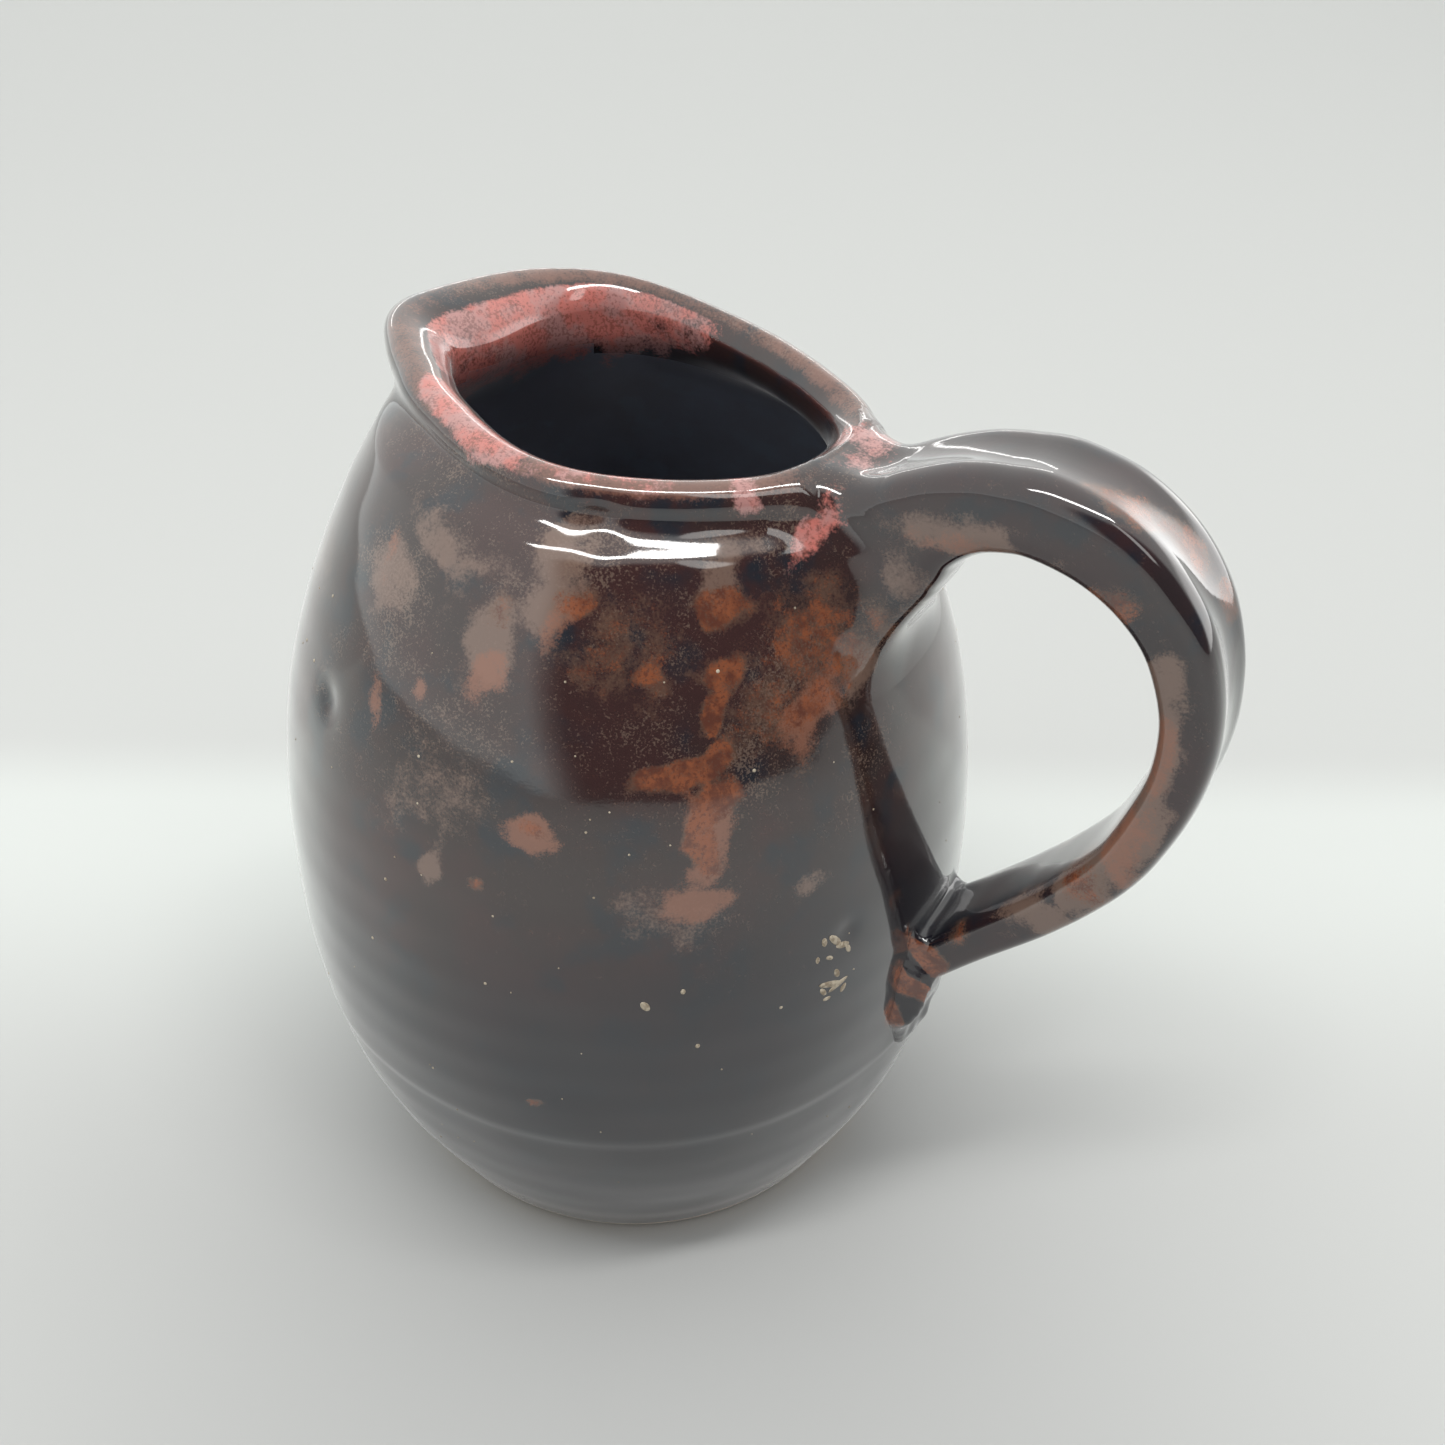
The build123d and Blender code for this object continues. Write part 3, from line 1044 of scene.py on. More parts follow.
@dataclass(frozen=True)
class GlazeFinish:
    """The dark iron glaze and the colours that it breaks to."""

    name: str
    iron: tuple = (0.032, 0.019, 0.018)
    maroon: tuple = (0.046, 0.018, 0.017)
    ink: tuple = (0.014, 0.018, 0.026)
    slate: tuple = (0.007, 0.009, 0.016)
    dust: tuple = (0.250, 0.180, 0.140)
    cloud: tuple = (0.245, 0.160, 0.124)
    rust: tuple = (0.290, 0.085, 0.033)
    rust_deep: tuple = (0.120, 0.034, 0.018)
    halo: tuple = (0.180, 0.105, 0.070)
    coral: tuple = (0.680, 0.215, 0.180)
    rose: tuple = (0.560, 0.280, 0.262)
    rim: tuple = (0.260, 0.120, 0.085)
    bare: tuple = (0.420, 0.330, 0.230)
    salmon: tuple = (0.290, 0.125, 0.078)
    roughness: float = 0.07
    peel: float = 0.016
    ior: float = 1.5
    coat_ior: float = 1.55
    haze: float = 0.45
    haze_roughness: float = 0.25
    # Heights in metres between which the glaze gets thicker, and its coat at the foot and what is added above
    thick_zone: tuple = (0.012, 0.055)
    foot_coat: float = 0.3
    more_coat: float = 0.7

    def build(self, effects: GlazeEffects) -> bpy.types.Material:
        """Makes the material.

        Args:
            effects: The effects that all the finishes share.

        Returns:
            The material.
        """
        material = bpy.data.materials.new(self.name)
        material.use_nodes = True
        material.node_tree.nodes.clear()
        graph = Graph(material.node_tree)
        torn, blotch, speckle = effects.torn, effects.blotch, effects.speckle
        base = graph.mix(graph.group(blotch, Size=16.0), colour(self.iron), colour(self.maroon))
        base = graph.mix(graph.group(blotch, Size=7.0, Low=0.5, High=0.66), base, colour(self.ink))
        base = graph.mix(graph.mark(Mark.DEEP), base, colour(self.maroon))
        base = graph.lay(base, graph.mark(Mark.VEIL), 0.9, self.slate)
        dust = graph.mark(Mark.DUST)
        grains = graph.group(speckle, Size=0.30, Cover=graph.times(dust, 1.25))
        base = graph.lay(base, grains, graph.math("MULTIPLY_ADD", dust, 0.6, 0.12), self.dust)
        cloud = graph.group(torn, Mask=graph.mark(Mark.CLOUD), Size=2.4, Tear=1.1, Softness=0.32)
        base = graph.lay(base, cloud, 0.72, self.cloud)
        rust_mask = graph.mark(Mark.RUST)
        halo = graph.group(torn, Mask=rust_mask, Size=2.0, Tear=1.0, Softness=0.24, Level=0.36)
        base = graph.lay(base, halo, 0.55, self.halo)
        salmon = graph.group(torn, Mask=graph.mark(Mark.SALMON), Size=1.5, Tear=1.0, Softness=0.26)
        base = graph.lay(base, salmon, 0.8, self.salmon)
        rust = graph.group(torn, Mask=rust_mask, Size=1.7, Tear=1.05, Softness=0.20, Level=0.50)
        freckle = graph.group(speckle, Size=0.45, Cover=0.70)
        rust_pools = graph.group(blotch, Size=2.2, Low=0.42, High=0.62)
        rust_tone = graph.mix(rust_pools, colour(self.rust), colour(self.rust_deep))
        rust_tone = graph.lay(rust_tone, freckle, 0.8, self.rust_deep)
        pepper = graph.math("MULTIPLY_ADD", graph.group(speckle, Size=0.26, Cover=0.62), -0.42, 0.92)
        base = graph.lay(base, rust, pepper, rust_tone)
        coral = graph.group(torn, Mask=graph.mark(Mark.CORAL), Size=2.6, Tear=1.0, Softness=0.22, Level=0.5)
        coral_pools = graph.group(blotch, Size=4.5, Low=0.42, High=0.58)
        coral_tone = graph.mix(coral_pools, colour(self.coral), colour(self.rose))
        coral_tone = graph.lay(coral_tone, freckle, 0.45, self.rust_deep)
        rim = graph.group(torn, Mask=graph.mark(Mark.RIM), Size=2.2, Tear=1.1, Softness=0.3, Level=0.62)
        base = graph.lay(base, rim, 0.7, self.rim)
        base = graph.lay(base, coral, 0.9, coral_tone)
        bare = graph.group(torn, Mask=graph.mark(Mark.BARE), Size=0.8, Tear=0.5, Softness=0.12)
        base = graph.mix(bare, base, colour(self.bare))
        broken = graph.math("MAXIMUM", graph.times(rust, 0.16), graph.times(bare, 0.75))
        shader = graph.node("ShaderNodeBsdfPrincipled", {
            "Base Color": base,
            "Roughness": graph.math("ADD", broken, self.roughness),
            "IOR": self.ior,
            "Normal": graph.group(effects.peel, Height=self.peel),
            "Sheen Weight": self.haze,
            "Sheen Roughness": self.haze_roughness,
            "Coat IOR": self.coat_ior,
            "Coat Roughness": self.roughness,
        })
        place = graph.node("ShaderNodeTexCoord").outputs["Object"]
        height = graph.node("ShaderNodeSeparateXYZ", {0: place}).outputs["Z"]
        thick = graph.ease(height, *self.thick_zone, self.more_coat)
        graph.feed(shader.inputs["Coat Weight"], graph.math("ADD", thick, self.foot_coat))
        out = graph.node("ShaderNodeOutputMaterial")
        graph.feed(out.inputs[0], shader.outputs[0])
        return material


@dataclass(frozen=True)
class ChipFinish:
    """Bare pale clay where the glaze missed."""

    name: str = "bare_clay"
    pale: tuple = (0.56, 0.49, 0.38)
    dull: tuple = (0.30, 0.24, 0.17)
    roughness: float = 0.7

    def build(self, effects: GlazeEffects) -> bpy.types.Material:
        """Makes the material.

        Args:
            effects: The effects that all the finishes share.

        Returns:
            The material.
        """
        material = bpy.data.materials.new(self.name)
        material.use_nodes = True
        graph = Graph(material.node_tree)
        shader = material.node_tree.nodes["Principled BSDF"]
        tone = graph.mix(graph.group(effects.blotch, Size=0.7), colour(self.pale), colour(self.dull))
        graph.feed(shader.inputs["Base Color"], tone)
        shader.inputs["Roughness"].default_value = self.roughness
        return material


@dataclass
class GlazeChips:
    """Small flakes of bare clay and pale grit on the wall, set out on its surface."""

    jug: JugForm
    grit_count: int = 150
    seed: int = 4
    detail: int = 2  # how finely each chip is rounded
    # Flecks: degrees from the handle, height, length, width, turn in degrees
    flecks: tuple = (
        (-26.2, 62.4, 1.5, 0.5, 40.0), (-24.9, 61.2, 1.1, 0.45, 75.0), (-28.2, 62.9, 0.7, 0.4, 10.0),
        (-27.3, 60.2, 0.6, 0.3, 60.0), (-23.9, 60.3, 0.7, 0.35, 20.0), (-29.4, 60.6, 0.5, 0.3, 0.0),
        (-26.9, 55.8, 2.0, 0.5, 70.0), (-25.6, 55.2, 1.6, 0.42, 110.0), (-28.3, 55.1, 0.8, 0.35, 30.0),
        (-25.9, 57.2, 0.8, 0.4, 20.0), (-24.6, 54.2, 0.7, 0.4, 150.0), (-27.6, 53.7, 0.6, 0.3, 90.0),
        (-55.4, 59.2, 0.8, 0.5, 30.0), (-50.0, 61.0, 0.4, 0.3, 0.0), (-48.0, 52.0, 0.35, 0.3, 0.0),
    )

    def ground(self, angle: np.ndarray, z: np.ndarray) -> np.ndarray:
        """Points on the outside of the wall.

        Args:
            angle: Directions from the handle, anticlockwise from above, in radians.
            z: Heights.

        Returns:
            Rows of x, y and z in millimetres.
        """
        rho = self.jug.reach(angle, z)
        points = np.stack([rho * np.cos(angle), rho * np.sin(angle), z], -1)
        rho = rho + self.jug.lumps(points)
        return np.stack([rho * np.cos(angle), rho * np.sin(angle), z], -1)

    def seats(self) -> bpy.types.Object:
        """One point for each chip: the grit by chance over the wall, the flecks where they are.

        Returns:
            An object with a point for each chip, and how it lies as attributes.
        """
        chance = np.random.default_rng(self.seed)
        rows = [
            (math.degrees(chance.uniform(-math.pi, math.pi)), chance.uniform(20, 104), size, size, 0.0)
            for size in 0.10 + 0.13 * chance.random(self.grit_count) ** 2
        ]
        rows = np.array(rows + list(self.flecks))
        angle, z = np.radians(rows[:, 0]), rows[:, 1]
        place = self.ground(angle, z)
        round_way = self.ground(angle + 0.01, z) - place
        round_way /= np.linalg.norm(round_way, axis=1, keepdims=True)
        up_way = self.ground(angle, z + 0.4) - place
        up_way /= np.linalg.norm(up_way, axis=1, keepdims=True)
        outward = np.cross(round_way, up_way)
        mesh = bpy.data.meshes.new("chip_seats")
        mesh.from_pydata((place * MM).tolist(), [], [])
        sizes = np.stack([rows[:, 3] * MM, rows[:, 2] * MM, 0.16 * np.sqrt(rows[:, 3]) * MM], -1)
        for name, values in (("out_way", outward), ("up_way", up_way), ("size", sizes)):
            layer = mesh.attributes.new(name, "FLOAT_VECTOR", "POINT")
            layer.data.foreach_set("vector", values.astype(np.float32).ravel())
        turns = np.radians(rows[:, 4]).astype(np.float32)
        mesh.attributes.new("turn", "FLOAT", "POINT").data.foreach_set("value", turns)
        return add_object("chip_seats", mesh)

    def tree(self) -> bpy.types.NodeTree:
        """Geometry nodes that set a flake on each seat, turned to lie on the wall.

        Returns:
            The tree, with inputs for the detail of a flake and its material.
        """
        tree = bpy.data.node_groups.new("chips", "GeometryNodeTree")
        tree.interface.new_socket("Geometry", in_out="INPUT", socket_type="NodeSocketGeometry")
        tree.interface.new_socket("Detail", in_out="INPUT", socket_type="NodeSocketInt").default_value = 1
        tree.interface.new_socket("Material", in_out="INPUT", socket_type="NodeSocketMaterial")
        tree.interface.new_socket("Geometry", in_out="OUTPUT", socket_type="NodeSocketGeometry")
        graph = Graph(tree)
        entry, out = graph.node("NodeGroupInput"), graph.node("NodeGroupOutput")
        ball = graph.node("GeometryNodeMeshIcoSphere", {"Radius": 1.0, "Subdivisions": entry.outputs["Detail"]})

        def stored(name: str, kind: str = "FLOAT_VECTOR") -> Socket:
            """Reads what a seat says of its chip."""
            return graph.node("GeometryNodeInputNamedAttribute", {"Name": name}, data_type=kind).outputs["Attribute"]

        flat = graph.node("FunctionNodeAlignRotationToVector", {"Vector": stored("out_way")}, axis="Z")
        aim = {"Rotation": flat.outputs[0], "Vector": stored("up_way")}
        upright = graph.node("FunctionNodeAlignRotationToVector", aim, axis="Y", pivot_axis="Z")
        about = {"Axis": (0.0, 0.0, 1.0), "Angle": stored("turn", "FLOAT")}
        spin = graph.node("FunctionNodeAxisAngleToRotation", about)
        turn = {"Rotation": upright.outputs[0], "Rotate By": spin.outputs[0]}
        turned = graph.node("FunctionNodeRotateRotation", turn, rotation_space="LOCAL")
        place = graph.node("GeometryNodeInstanceOnPoints", {
            "Points": entry.outputs["Geometry"],
            "Instance": ball.outputs["Mesh"],
            "Rotation": turned.outputs[0],
            "Scale": stored("size"),
        })
        real = graph.node("GeometryNodeRealizeInstances", {"Geometry": place.outputs[0]})
        dress = {"Geometry": real.outputs[0], "Material": entry.outputs["Material"]}
        painted = graph.node("GeometryNodeSetMaterial", dress)
        graph.feed(out.inputs[0], painted.outputs[0])
        return tree

    def build(self, material: bpy.types.Material) -> bpy.types.Object:
        """Makes the chips as one mesh.

        Args:
            material: Their finish.

        Returns:
            The finished piece.
        """
        seats = self.seats()
        modifier = seats.modifiers.new("chips", "NODES")
        modifier.node_group = self.tree()
        settings = {"Detail": self.detail, "Material": material}
        for item in modifier.node_group.interface.items_tree:
            if item.in_out == "INPUT" and item.name in settings:
                modifier[item.identifier] = settings[item.name]
        graph = bpy.context.evaluated_depsgraph_get()
        mesh = bpy.data.meshes.new_from_object(seats.evaluated_get(graph), depsgraph=graph)
        bpy.data.objects.remove(seats)
        for name in [a.name for a in mesh.attributes if a.name in ("out_way", "up_way", "size", "turn")]:
            mesh.attributes.remove(mesh.attributes[name])
        mesh.polygons.foreach_set("use_smooth", np.ones(len(mesh.polygons), bool))
        piece = add_object("bare_chips", mesh)
        settle(piece)
        return piece


@dataclass
class Studio:
    """The pale floor, with a painted band of light and a painted shadow on it, the soft light and the camera."""

    camera_place: tuple = (91.8, -136.2, 184.4)
    heading: float = 29.6
    look_down: float = 35.85
    roll: float = 0.905
    lens: float = 36.12
    sky: float = 1.12
    # Dark part of the room that the glaze mirrors: direction and half its size, in degrees
    dark_way: tuple = (-33.0, 24.0)
    dark_size: tuple = (52.0, 37.0)
    # Pale opening within it
    gap_way: tuple = (-12.0, 51.0)
    gap_size: tuple = (8.5, 13.0)
    # Bright side of the room, likewise
    bright_way: tuple = (52.0, 4.0)
    bright_size: tuple = (34.0, 22.0)
    # Tones of the room as the glaze mirrors it, and as it is seen behind the jug
    room_tone: tuple = (0.90, 0.91, 0.89)
    horizon_tone: tuple = (1.0, 1.04, 1.02)
    bright_tone: tuple = (2.3, 2.3, 2.27)
    dark_tone: tuple = (0.10, 0.085, 0.09)
    gap_tone: tuple = (2.2, 2.2, 2.15)
    seen_tone: tuple = (0.80, 0.81, 0.795)
    # Half the floor's size in metres, and its tones: all over, a painted band of light behind the jug, and a painted
    # shadow in front of its foot
    floor_reach: float = 2.0
    floor_tone: tuple = (0.590, 0.602, 0.594)
    # Tone of the painted band of light behind the jug
    painted_light_band_tone: tuple = (0.680, 0.708, 0.692)
    # Painted shadow in front of the foot: its tone, its middle, its reach from edge to middle and its strength
    painted_shadow_tone: tuple = (0.30, 0.30, 0.31)
    painted_shadow_place: tuple = (0.052, -0.078, 0.0)
    painted_shadow_zone: tuple = (0.17, 0.02)  # from its edge to its middle
    painted_shadow_share: float = 0.34
    # Where the painted band of light rises and where it fades, going away from the camera
    painted_light_band_near: tuple = (-0.02, 0.05)  # where the band starts, going away from the camera
    painted_light_band_far: tuple = (0.085, 0.060)
    lamps: int = 48  # in each strip of light
    lamp_half: float = 0.32  # half a lamp's length, as a share of its place in the row

    def build(self) -> None:
        """Makes the camera, the floor, the lights and the world."""
        self.make_camera()
        self.make_floor()
        self.make_world()
        self.make_strip("strip_light", (0.15, -0.22, 1.12), (0.72, 0.69, 0.0), length=1.0, width=0.10, strength=28.0)
        self.make_strip("back_light", (-0.75, 0.93, 0.42), (0.78, 0.63, 0.0), length=1.4, width=0.045, strength=6.0)
        bpy.context.scene.view_settings.view_transform = "Standard"

    def make_camera(self) -> None:
        """Makes the camera."""
        camera = add_object("camera", bpy.data.cameras.new("camera"))
        camera.data.lens = self.lens
        camera.data.sensor_width = 36.0
        turn = Matrix.Rotation(math.radians(self.heading), 4, "Z")
        tip = Matrix.Rotation(math.radians(90 - self.look_down), 4, "X")
        roll = Matrix.Rotation(math.radians(self.roll), 4, "Z")
        camera.matrix_world = Matrix.Translation(Vector(self.camera_place) * MM) @ turn @ tip @ roll
        camera.data.clip_start = 0.01
        bpy.context.scene.camera = camera

    def make_floor(self) -> None:
        """Makes the pale floor, with a painted band of light behind the jug and a painted shadow in front of its
        foot.
        """
        mesh = bpy.data.meshes.new("floor")
        corners = [(a * self.floor_reach, b * self.floor_reach, 0) for a, b in ((-1, -1), (1, -1), (1, 1), (-1, 1))]
        mesh.from_pydata(corners, [], [(0, 1, 2, 3)])
        pale = bpy.data.materials.new("pale_floor")
        pale.use_nodes = True
        shader = pale.node_tree.nodes["Principled BSDF"]
        graph = Graph(pale.node_tree)
        turn = math.radians(self.heading)
        place = graph.node("ShaderNodeTexCoord").outputs["Object"]
        back = (-math.sin(turn), math.cos(turn), 0.0)
        away = graph.vector("DOT_PRODUCT", place, back)
        # Painted band of light on the floor behind the jug
        band = graph.times(graph.ease(away, *self.painted_light_band_near), graph.ease(away, *self.painted_light_band_far))
        tone = graph.mix(band, colour(self.floor_tone), colour(self.painted_light_band_tone))
        # Painted shadow on the floor in front of the foot
        shadow_distance = graph.vector("DISTANCE", place, self.painted_shadow_place)
        tone = graph.mix(graph.ease(shadow_distance, *self.painted_shadow_zone, self.painted_shadow_share), tone, colour(self.painted_shadow_tone))
        graph.feed(shader.inputs["Base Color"], tone)
        shader.inputs["Roughness"].default_value = 0.85
        mesh.materials.append(pale)
        add_object("floor", mesh)

    def make_strip(self, name: str, middle: tuple, way: tuple, length: float, width: float, strength: float) -> None:
        """Makes a long light of small lamps in a row, that the camera itself doesn't see.

        Args:
            name: Its name.
            middle: Place of its middle, in metres.
            way: Direction that it runs in.
            length: Its length, in metres.
            width: Its width, in metres.
            strength: How bright it is.
        """
        along = Vector(way).normalized()
        facing = (Vector((0, 0, 0.1)) - Vector(middle)).normalized()
        side = along.cross(facing).normalized()
        points, faces = [], []
        for i in range(self.lamps):
            centre = Vector(middle) + along * length * ((i + 0.5) / self.lamps - 0.5)
            half = along * length / self.lamps * self.lamp_half
            for a, b in ((-1, -1), (1, -1), (1, 1), (-1, 1)):
                points.append(centre + half * a + side * width / 2 * b)
            faces.append(tuple(range(4 * i, 4 * i + 4)))
        mesh = bpy.data.meshes.new(name)
        mesh.from_pydata(points, [], faces)
        glow = bpy.data.materials.new(name)
        glow.use_nodes = True
        glow.node_tree.nodes.clear()
        graph = Graph(glow.node_tree)
        light = graph.node("ShaderNodeEmission", {"Color": (1.0, 0.99, 0.97, 1), "Strength": strength})
        graph.feed(graph.node("ShaderNodeOutputMaterial").inputs[0], light.outputs[0])
        mesh.materials.append(glow)
        strip = add_object(name, mesh)
        strip.visible_camera = False

    def make_world(self) -> None:
        """Makes the pale room, darker on the side that it is seen from."""
        world = bpy.data.worlds.new("soft_room")
        bpy.context.scene.world = world
        world.use_nodes = True
        graph = Graph(world.node_tree)
        background = world.node_tree.nodes["Background"]
        way = graph.node("ShaderNodeTexCoord").outputs["Generated"]

        def part(axis: tuple) -> Socket:
            """How far the direction goes along an axis."""
            return graph.vector("DOT_PRODUCT", way, axis)

        rise = graph.math("ARCSINE", part((0.0, 0.0, 1.0)))

        def region(middle: tuple, size: tuple, low: float, high: float) -> Socket:
            """Eases from 0 at low to 1 at high over the distance from a direction, as a rounded box.

            Args:
                middle: Its direction and its height, in degrees.
                size: Half its size, in degrees.
                low: Distance at which the result leaves 0.
                high: Distance at which it reaches 1.

            Returns:
                The result.
            """
            azimuth, height = (math.radians(v) for v in middle)
            ahead = part((math.cos(azimuth), math.sin(azimuth), 0.0))
            beside = part((-math.sin(azimuth), math.cos(azimuth), 0.0))
            u = graph.math("DIVIDE", graph.math("ARCTAN2", beside, ahead), math.radians(size[0]))
            v = graph.math("DIVIDE", graph.math("SUBTRACT", rise, height), math.radians(size[1]))
            square = [graph.math("POWER", graph.math("ABSOLUTE", k), 3.0) for k in (u, v)]
            return graph.ease(graph.math("ADD", *square), low, high)

        shade = region(self.dark_way, self.dark_size, low=0.6, high=1.5)
        gap = region(self.gap_way, self.gap_size, low=1.4, high=0.7)
        glow = region(self.bright_way, self.bright_size, low=1.6, high=0.3)
        band = graph.ease(graph.math("ABSOLUTE", graph.math("SUBTRACT", rise, -0.03)), 0.10, 0.0)
        pale = graph.mix(band, colour(self.room_tone), colour(self.horizon_tone))
        pale = graph.mix(glow, pale, colour(self.bright_tone))
        tone = graph.mix(shade, colour(self.dark_tone), pale)
        tone = graph.mix(gap, tone, colour(self.gap_tone))
        seen = graph.node("ShaderNodeLightPath").outputs["Is Camera Ray"]
        graph.feed(background.inputs["Color"], graph.mix(seen, tone, colour(self.seen_tone)))
        background.inputs["Strength"].default_value = self.sky


def chance_marks(count: int, seed: int) -> list:
    """Patches set by chance on the far side of the shoulder, where the glaze broke as it did on the near side.

    Args:
        count: How many to set.
        seed: Which pattern to use.

    Returns:
        The patches.
    """
    chance = np.random.default_rng(seed)
    kinds = (Mark.RUST, Mark.CLOUD, Mark.SALMON, Mark.RUST, Mark.CLOUD)
    marks = []
    for i in range(count):
        angle, height, turn = chance.uniform(22, 235), 110 - 40 * chance.random() ** 1.6, chance.uniform(-40, 40)
        across, along, strength = chance.uniform(1.2, 4.6), chance.uniform(1.4, 4.0), chance.uniform(0.5, 0.9)
        marks.append(WallMark(kinds[i % len(kinds)], angle, height, across, along, turn, strength))
    return marks


# Patches in the glaze of the wall: degrees from the handle, height, half the width, half the height, turn in degrees
# and strength; the places and sizes in millimetres
WALL_MARKS = {
    Mark.RUST: (
        (-39.0, 104.3, 3.4, 1.5, -6), (-41.2, 97.8, 3.6, 2.2, 8), (-43.6, 94.2, 1.3, 1.5),
        (-47.6, 88.6, 5.4, 1.5, 12), (-43.0, 90.0, 2.0, 1.2, 20), (-44.6, 84.6, 2.5, 2.4, 15),
        (-46.6, 79.4, 1.5, 4.0, 8), (-71.9, 81.6, 2.4, 1.0, -22, 0.6), (-54.0, 98.0, 2.0, 1.5, 0, 0.62),
        (-66.7, 105.1, 2.2, 1.6, 0, 0.62), (-23.0, 98.0, 7.0, 6.0, 20, 0.52), (-33.0, 94.0, 5.0, 7.0, 0, 0.44),
        (-26.0, 92.4, 4.6, 1.7, 30, 0.66), (-58.0, 100.0, 6.0, 5.0, 0, 0.40), (-12.0, 100.0, 2.6, 3.0, 0, 0.5),
        (-73.4, 41.0, 1.4, 0.8, 0, 0.8), (-79.6, 103.7, 1.6, 2.0, 0, 0.5), (-79.9, 73.7, 1.0, 1.0, 0, 0.6),
        (-8.6, 52.6, 0.75, 4.2, 20, 1.5), (-10.8, 47.2, 0.75, 4.4, 20, 1.5), (-12.8, 42.0, 0.8, 3.4, 8, 1.4),
    ),
    Mark.SALMON: (
        (-45.8, 82.0, 2.2, 5.0, 8, 0.8), (-47.9, 72.8, 4.4, 2.4, 12, 0.9), (-46.9, 76.4, 2.0, 3.2, 8, 0.8),
        (-71.6, 81.0, 3.0, 2.0, -22), (-26.6, 91.8, 5.4, 2.4, 30, 0.8), (-92.4, 93.7, 1.1, 1.6, 0, 0.75),
        (-101.8, 90.9, 1.3, 2.6, 0, 0.62), (-107.3, 105.0, 1.3, 2.6, 0, 0.56), (-80.0, 97.0, 1.8, 3.6, -30, 0.75),
        (-69.0, 103.5, 1.6, 4.0, -35, 0.62),
    ),
    Mark.CLOUD: (
        (-87.4, 74.0, 1.6, 1.8), (-80.0, 100.5, 3.4, 5.0, -35), (-69.5, 108.2, 2.0, 3.4, -35),
        (-71.0, 105.0, 2.6, 4.4, -35), (-104.0, 103.0, 5.0, 3.2, 0, 0.8), (-92.0, 108.0, 7.0, 2.4, -10, 0.8),
        (-52.0, 71.0, 6.0, 4.0, 0, 0.5), (-36.0, 107.5, 3.2, 3.2, 0, 0.8), (-30.0, 72.0, 2.4, 1.4, 0, 0.6),
        (-14.9, 93.5, 2.0, 3.4, -20, 0.8), (-88.0, 84.0, 7.0, 7.0, 0, 0.42),
    ),
    Mark.DEEP: (
        (-58.0, 92.0, 9.0, 8.0, 0, 0.8), (-47.0, 105.0, 8.0, 4.0, 0, 0.8),
    ),
    Mark.CORAL: (
        (-118.0, 119.0, 5.4, 1.7, -8, 0.95), (-104.0, 118.4, 4.4, 1.6, -8, 0.8), (-92.0, 117.4, 4.0, 2.0, -4, 0.66),
        (-66.0, 116.6, 6.0, 1.8, 0, 0.66), (-46.0, 115.8, 6.0, 1.6, 0, 0.62), (-29.8, 113.9, 1.7, 2.2, 0, 0.9),
        (-18.0, 109.4, 4.6, 1.3, 42, 0.62), (-7.0, 112.2, 4.4, 2.0, 20, 0.72), (8.4, 113.0, 4.0, 2.6, 0, 0.66),
    ),
}

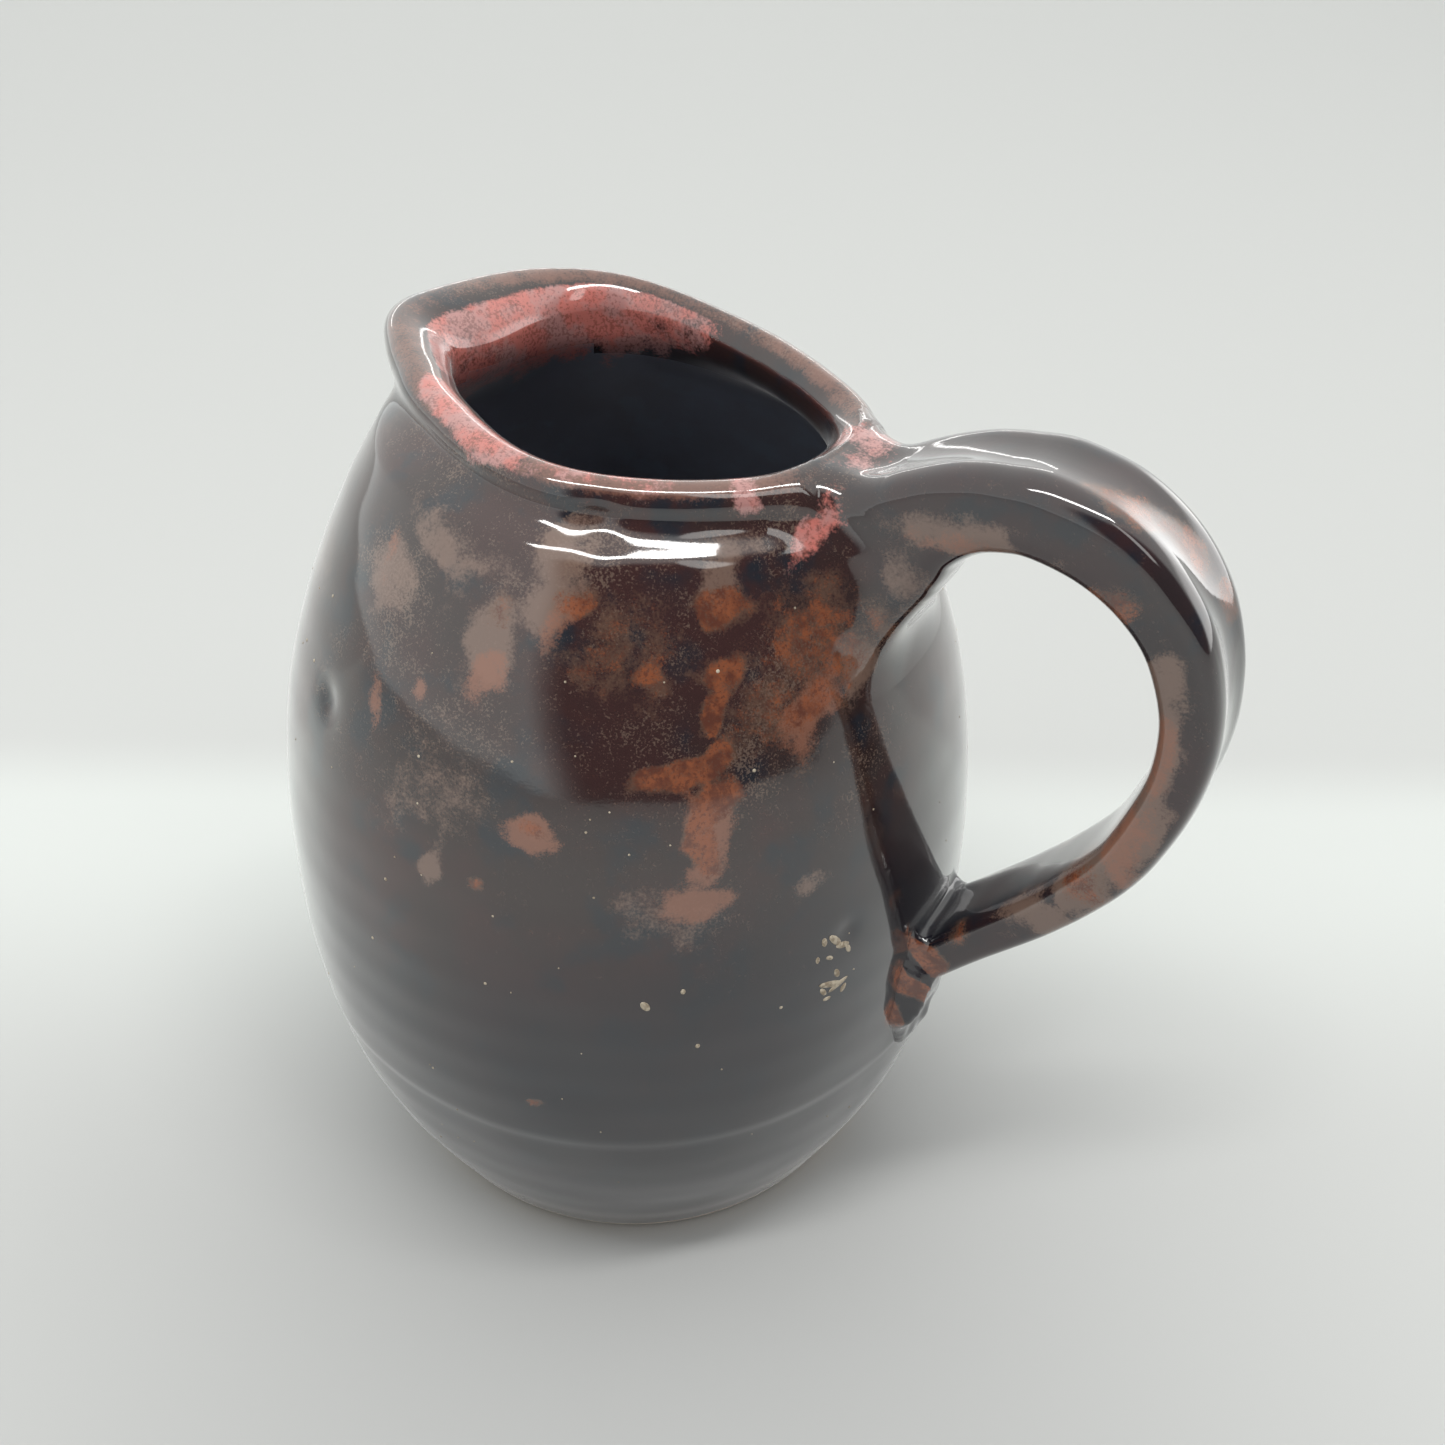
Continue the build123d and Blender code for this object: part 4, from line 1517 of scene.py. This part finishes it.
# Patches in the glaze of the handle, on its back and near side: place, half the size and strength, in millimetres
STRAP_MARKS = {
    Mark.RUST: (
        ((62.0, -2.5, 118.0), (5.0, 2.6, 2.5), 0.75), ((69.0, 1.0, 112.5), (3.5, 2.2, 4.0), 0.8),
        ((73.5, 2.0, 107.5), (2.5, 2.0, 3.0), 0.6), ((64.0, -6.0, 109.0), (4.0, 3.0, 2.6), 0.5),
        ((67.0, -5.0, 72.0), (3.0, 3.0, 3.4), 0.62), ((52.0, -6.0, 56.5), (2.0, 2.6, 2.0), 0.7),
        ((48.5, -7.6, 45.0), (2.4, 1.0, 8.0), 0.9),
    ),
    Mark.CLOUD: (
        ((46.0, -7.0, 111.5), (8.0, 3.0, 2.4), 1.0), ((41.0, -7.0, 104.0), (3.0, 3.0, 5.0), 0.6),
        ((70.4, -6.0, 99.0), (2.4, 2.6, 7.0), 1.0), ((71.4, -6.0, 87.0), (2.2, 2.6, 12.0), 1.0),
        ((67.0, -6.0, 72.5), (4.0, 3.0, 7.0), 1.0), ((62.0, -6.0, 64.0), (5.0, 3.0, 3.6), 0.95),
    ),
    Mark.SALMON: (
        ((45.0, -7.0, 110.6), (5.5, 3.0, 1.6), 0.6), ((71.4, -6.0, 90.0), (1.6, 2.6, 8.5), 0.66),
        ((69.6, -6.0, 79.0), (2.4, 3.0, 7.0), 0.7),
    ),
}


def wall_marks() -> list:
    """The patches in the glaze of the wall."""
    return [WallMark(kind, *row) for kind, rows in WALL_MARKS.items() for row in rows]


def strap_marks() -> list:
    """The patches in the glaze of the handle, with fainter ones on its far side.

    Returns:
        The patches.
    """
    near = [StrapMark(kind, *row) for kind, rows in STRAP_MARKS.items() for row in rows]
    far = []
    for mark in near:
        x, y, z = mark.place
        if y < -4:
            far.append(StrapMark(mark.kind, (x, -y, z + 4.0), mark.size, 0.75 * mark.strength))
    return near + far


def main() -> None:
    """Makes the finishes and the studio, then the jug piece by piece."""
    logging.basicConfig(level=logging.INFO, format="%(name)s %(message)s")
    jug, strap = JugForm.from_frame(), HandleForm()
    glaze = GlazeMarks(jug, wall_marks() + chance_marks(count=34, seed=12), strap_marks())
    effects = GlazeEffects()
    outside = GlazeFinish("iron_glaze").build(effects)
    # The inside's finish: lighter, bluer colours than the outside, partly the inside glaze and partly painted light
    # that lifts the shaded interior
    inside = GlazeFinish(
        "iron_glaze_inside_painted_light",
        iron=(0.200, 0.220, 0.280),
        maroon=(0.180, 0.190, 0.230),
        ink=(0.200, 0.235, 0.300),
        roughness=0.34,
    ).build(effects)
    bare_clay = ChipFinish().build(effects)
    Studio().build()
    upper = JoinClay("upper_join", "upper_join_coil", jug, strap, (24, -18, 82), (56, 18, 122), blend=8.0, step=0.4)
    lower = JoinClay("lower_join", "lower_join_pad", jug, strap, (34, -12, 24), (60, 12, 66), blend=2.4, smeared=True)
    for part in (ThrownBody(jug), StrapHandle(strap), upper, lower):
        piece = part.build(glaze)
        piece.data.materials.append(outside)
        if isinstance(part, ThrownBody):
            piece.data.materials.append(inside)
    GlazeChips(jug).build(bare_clay)


if __name__ == "__main__":
    main()
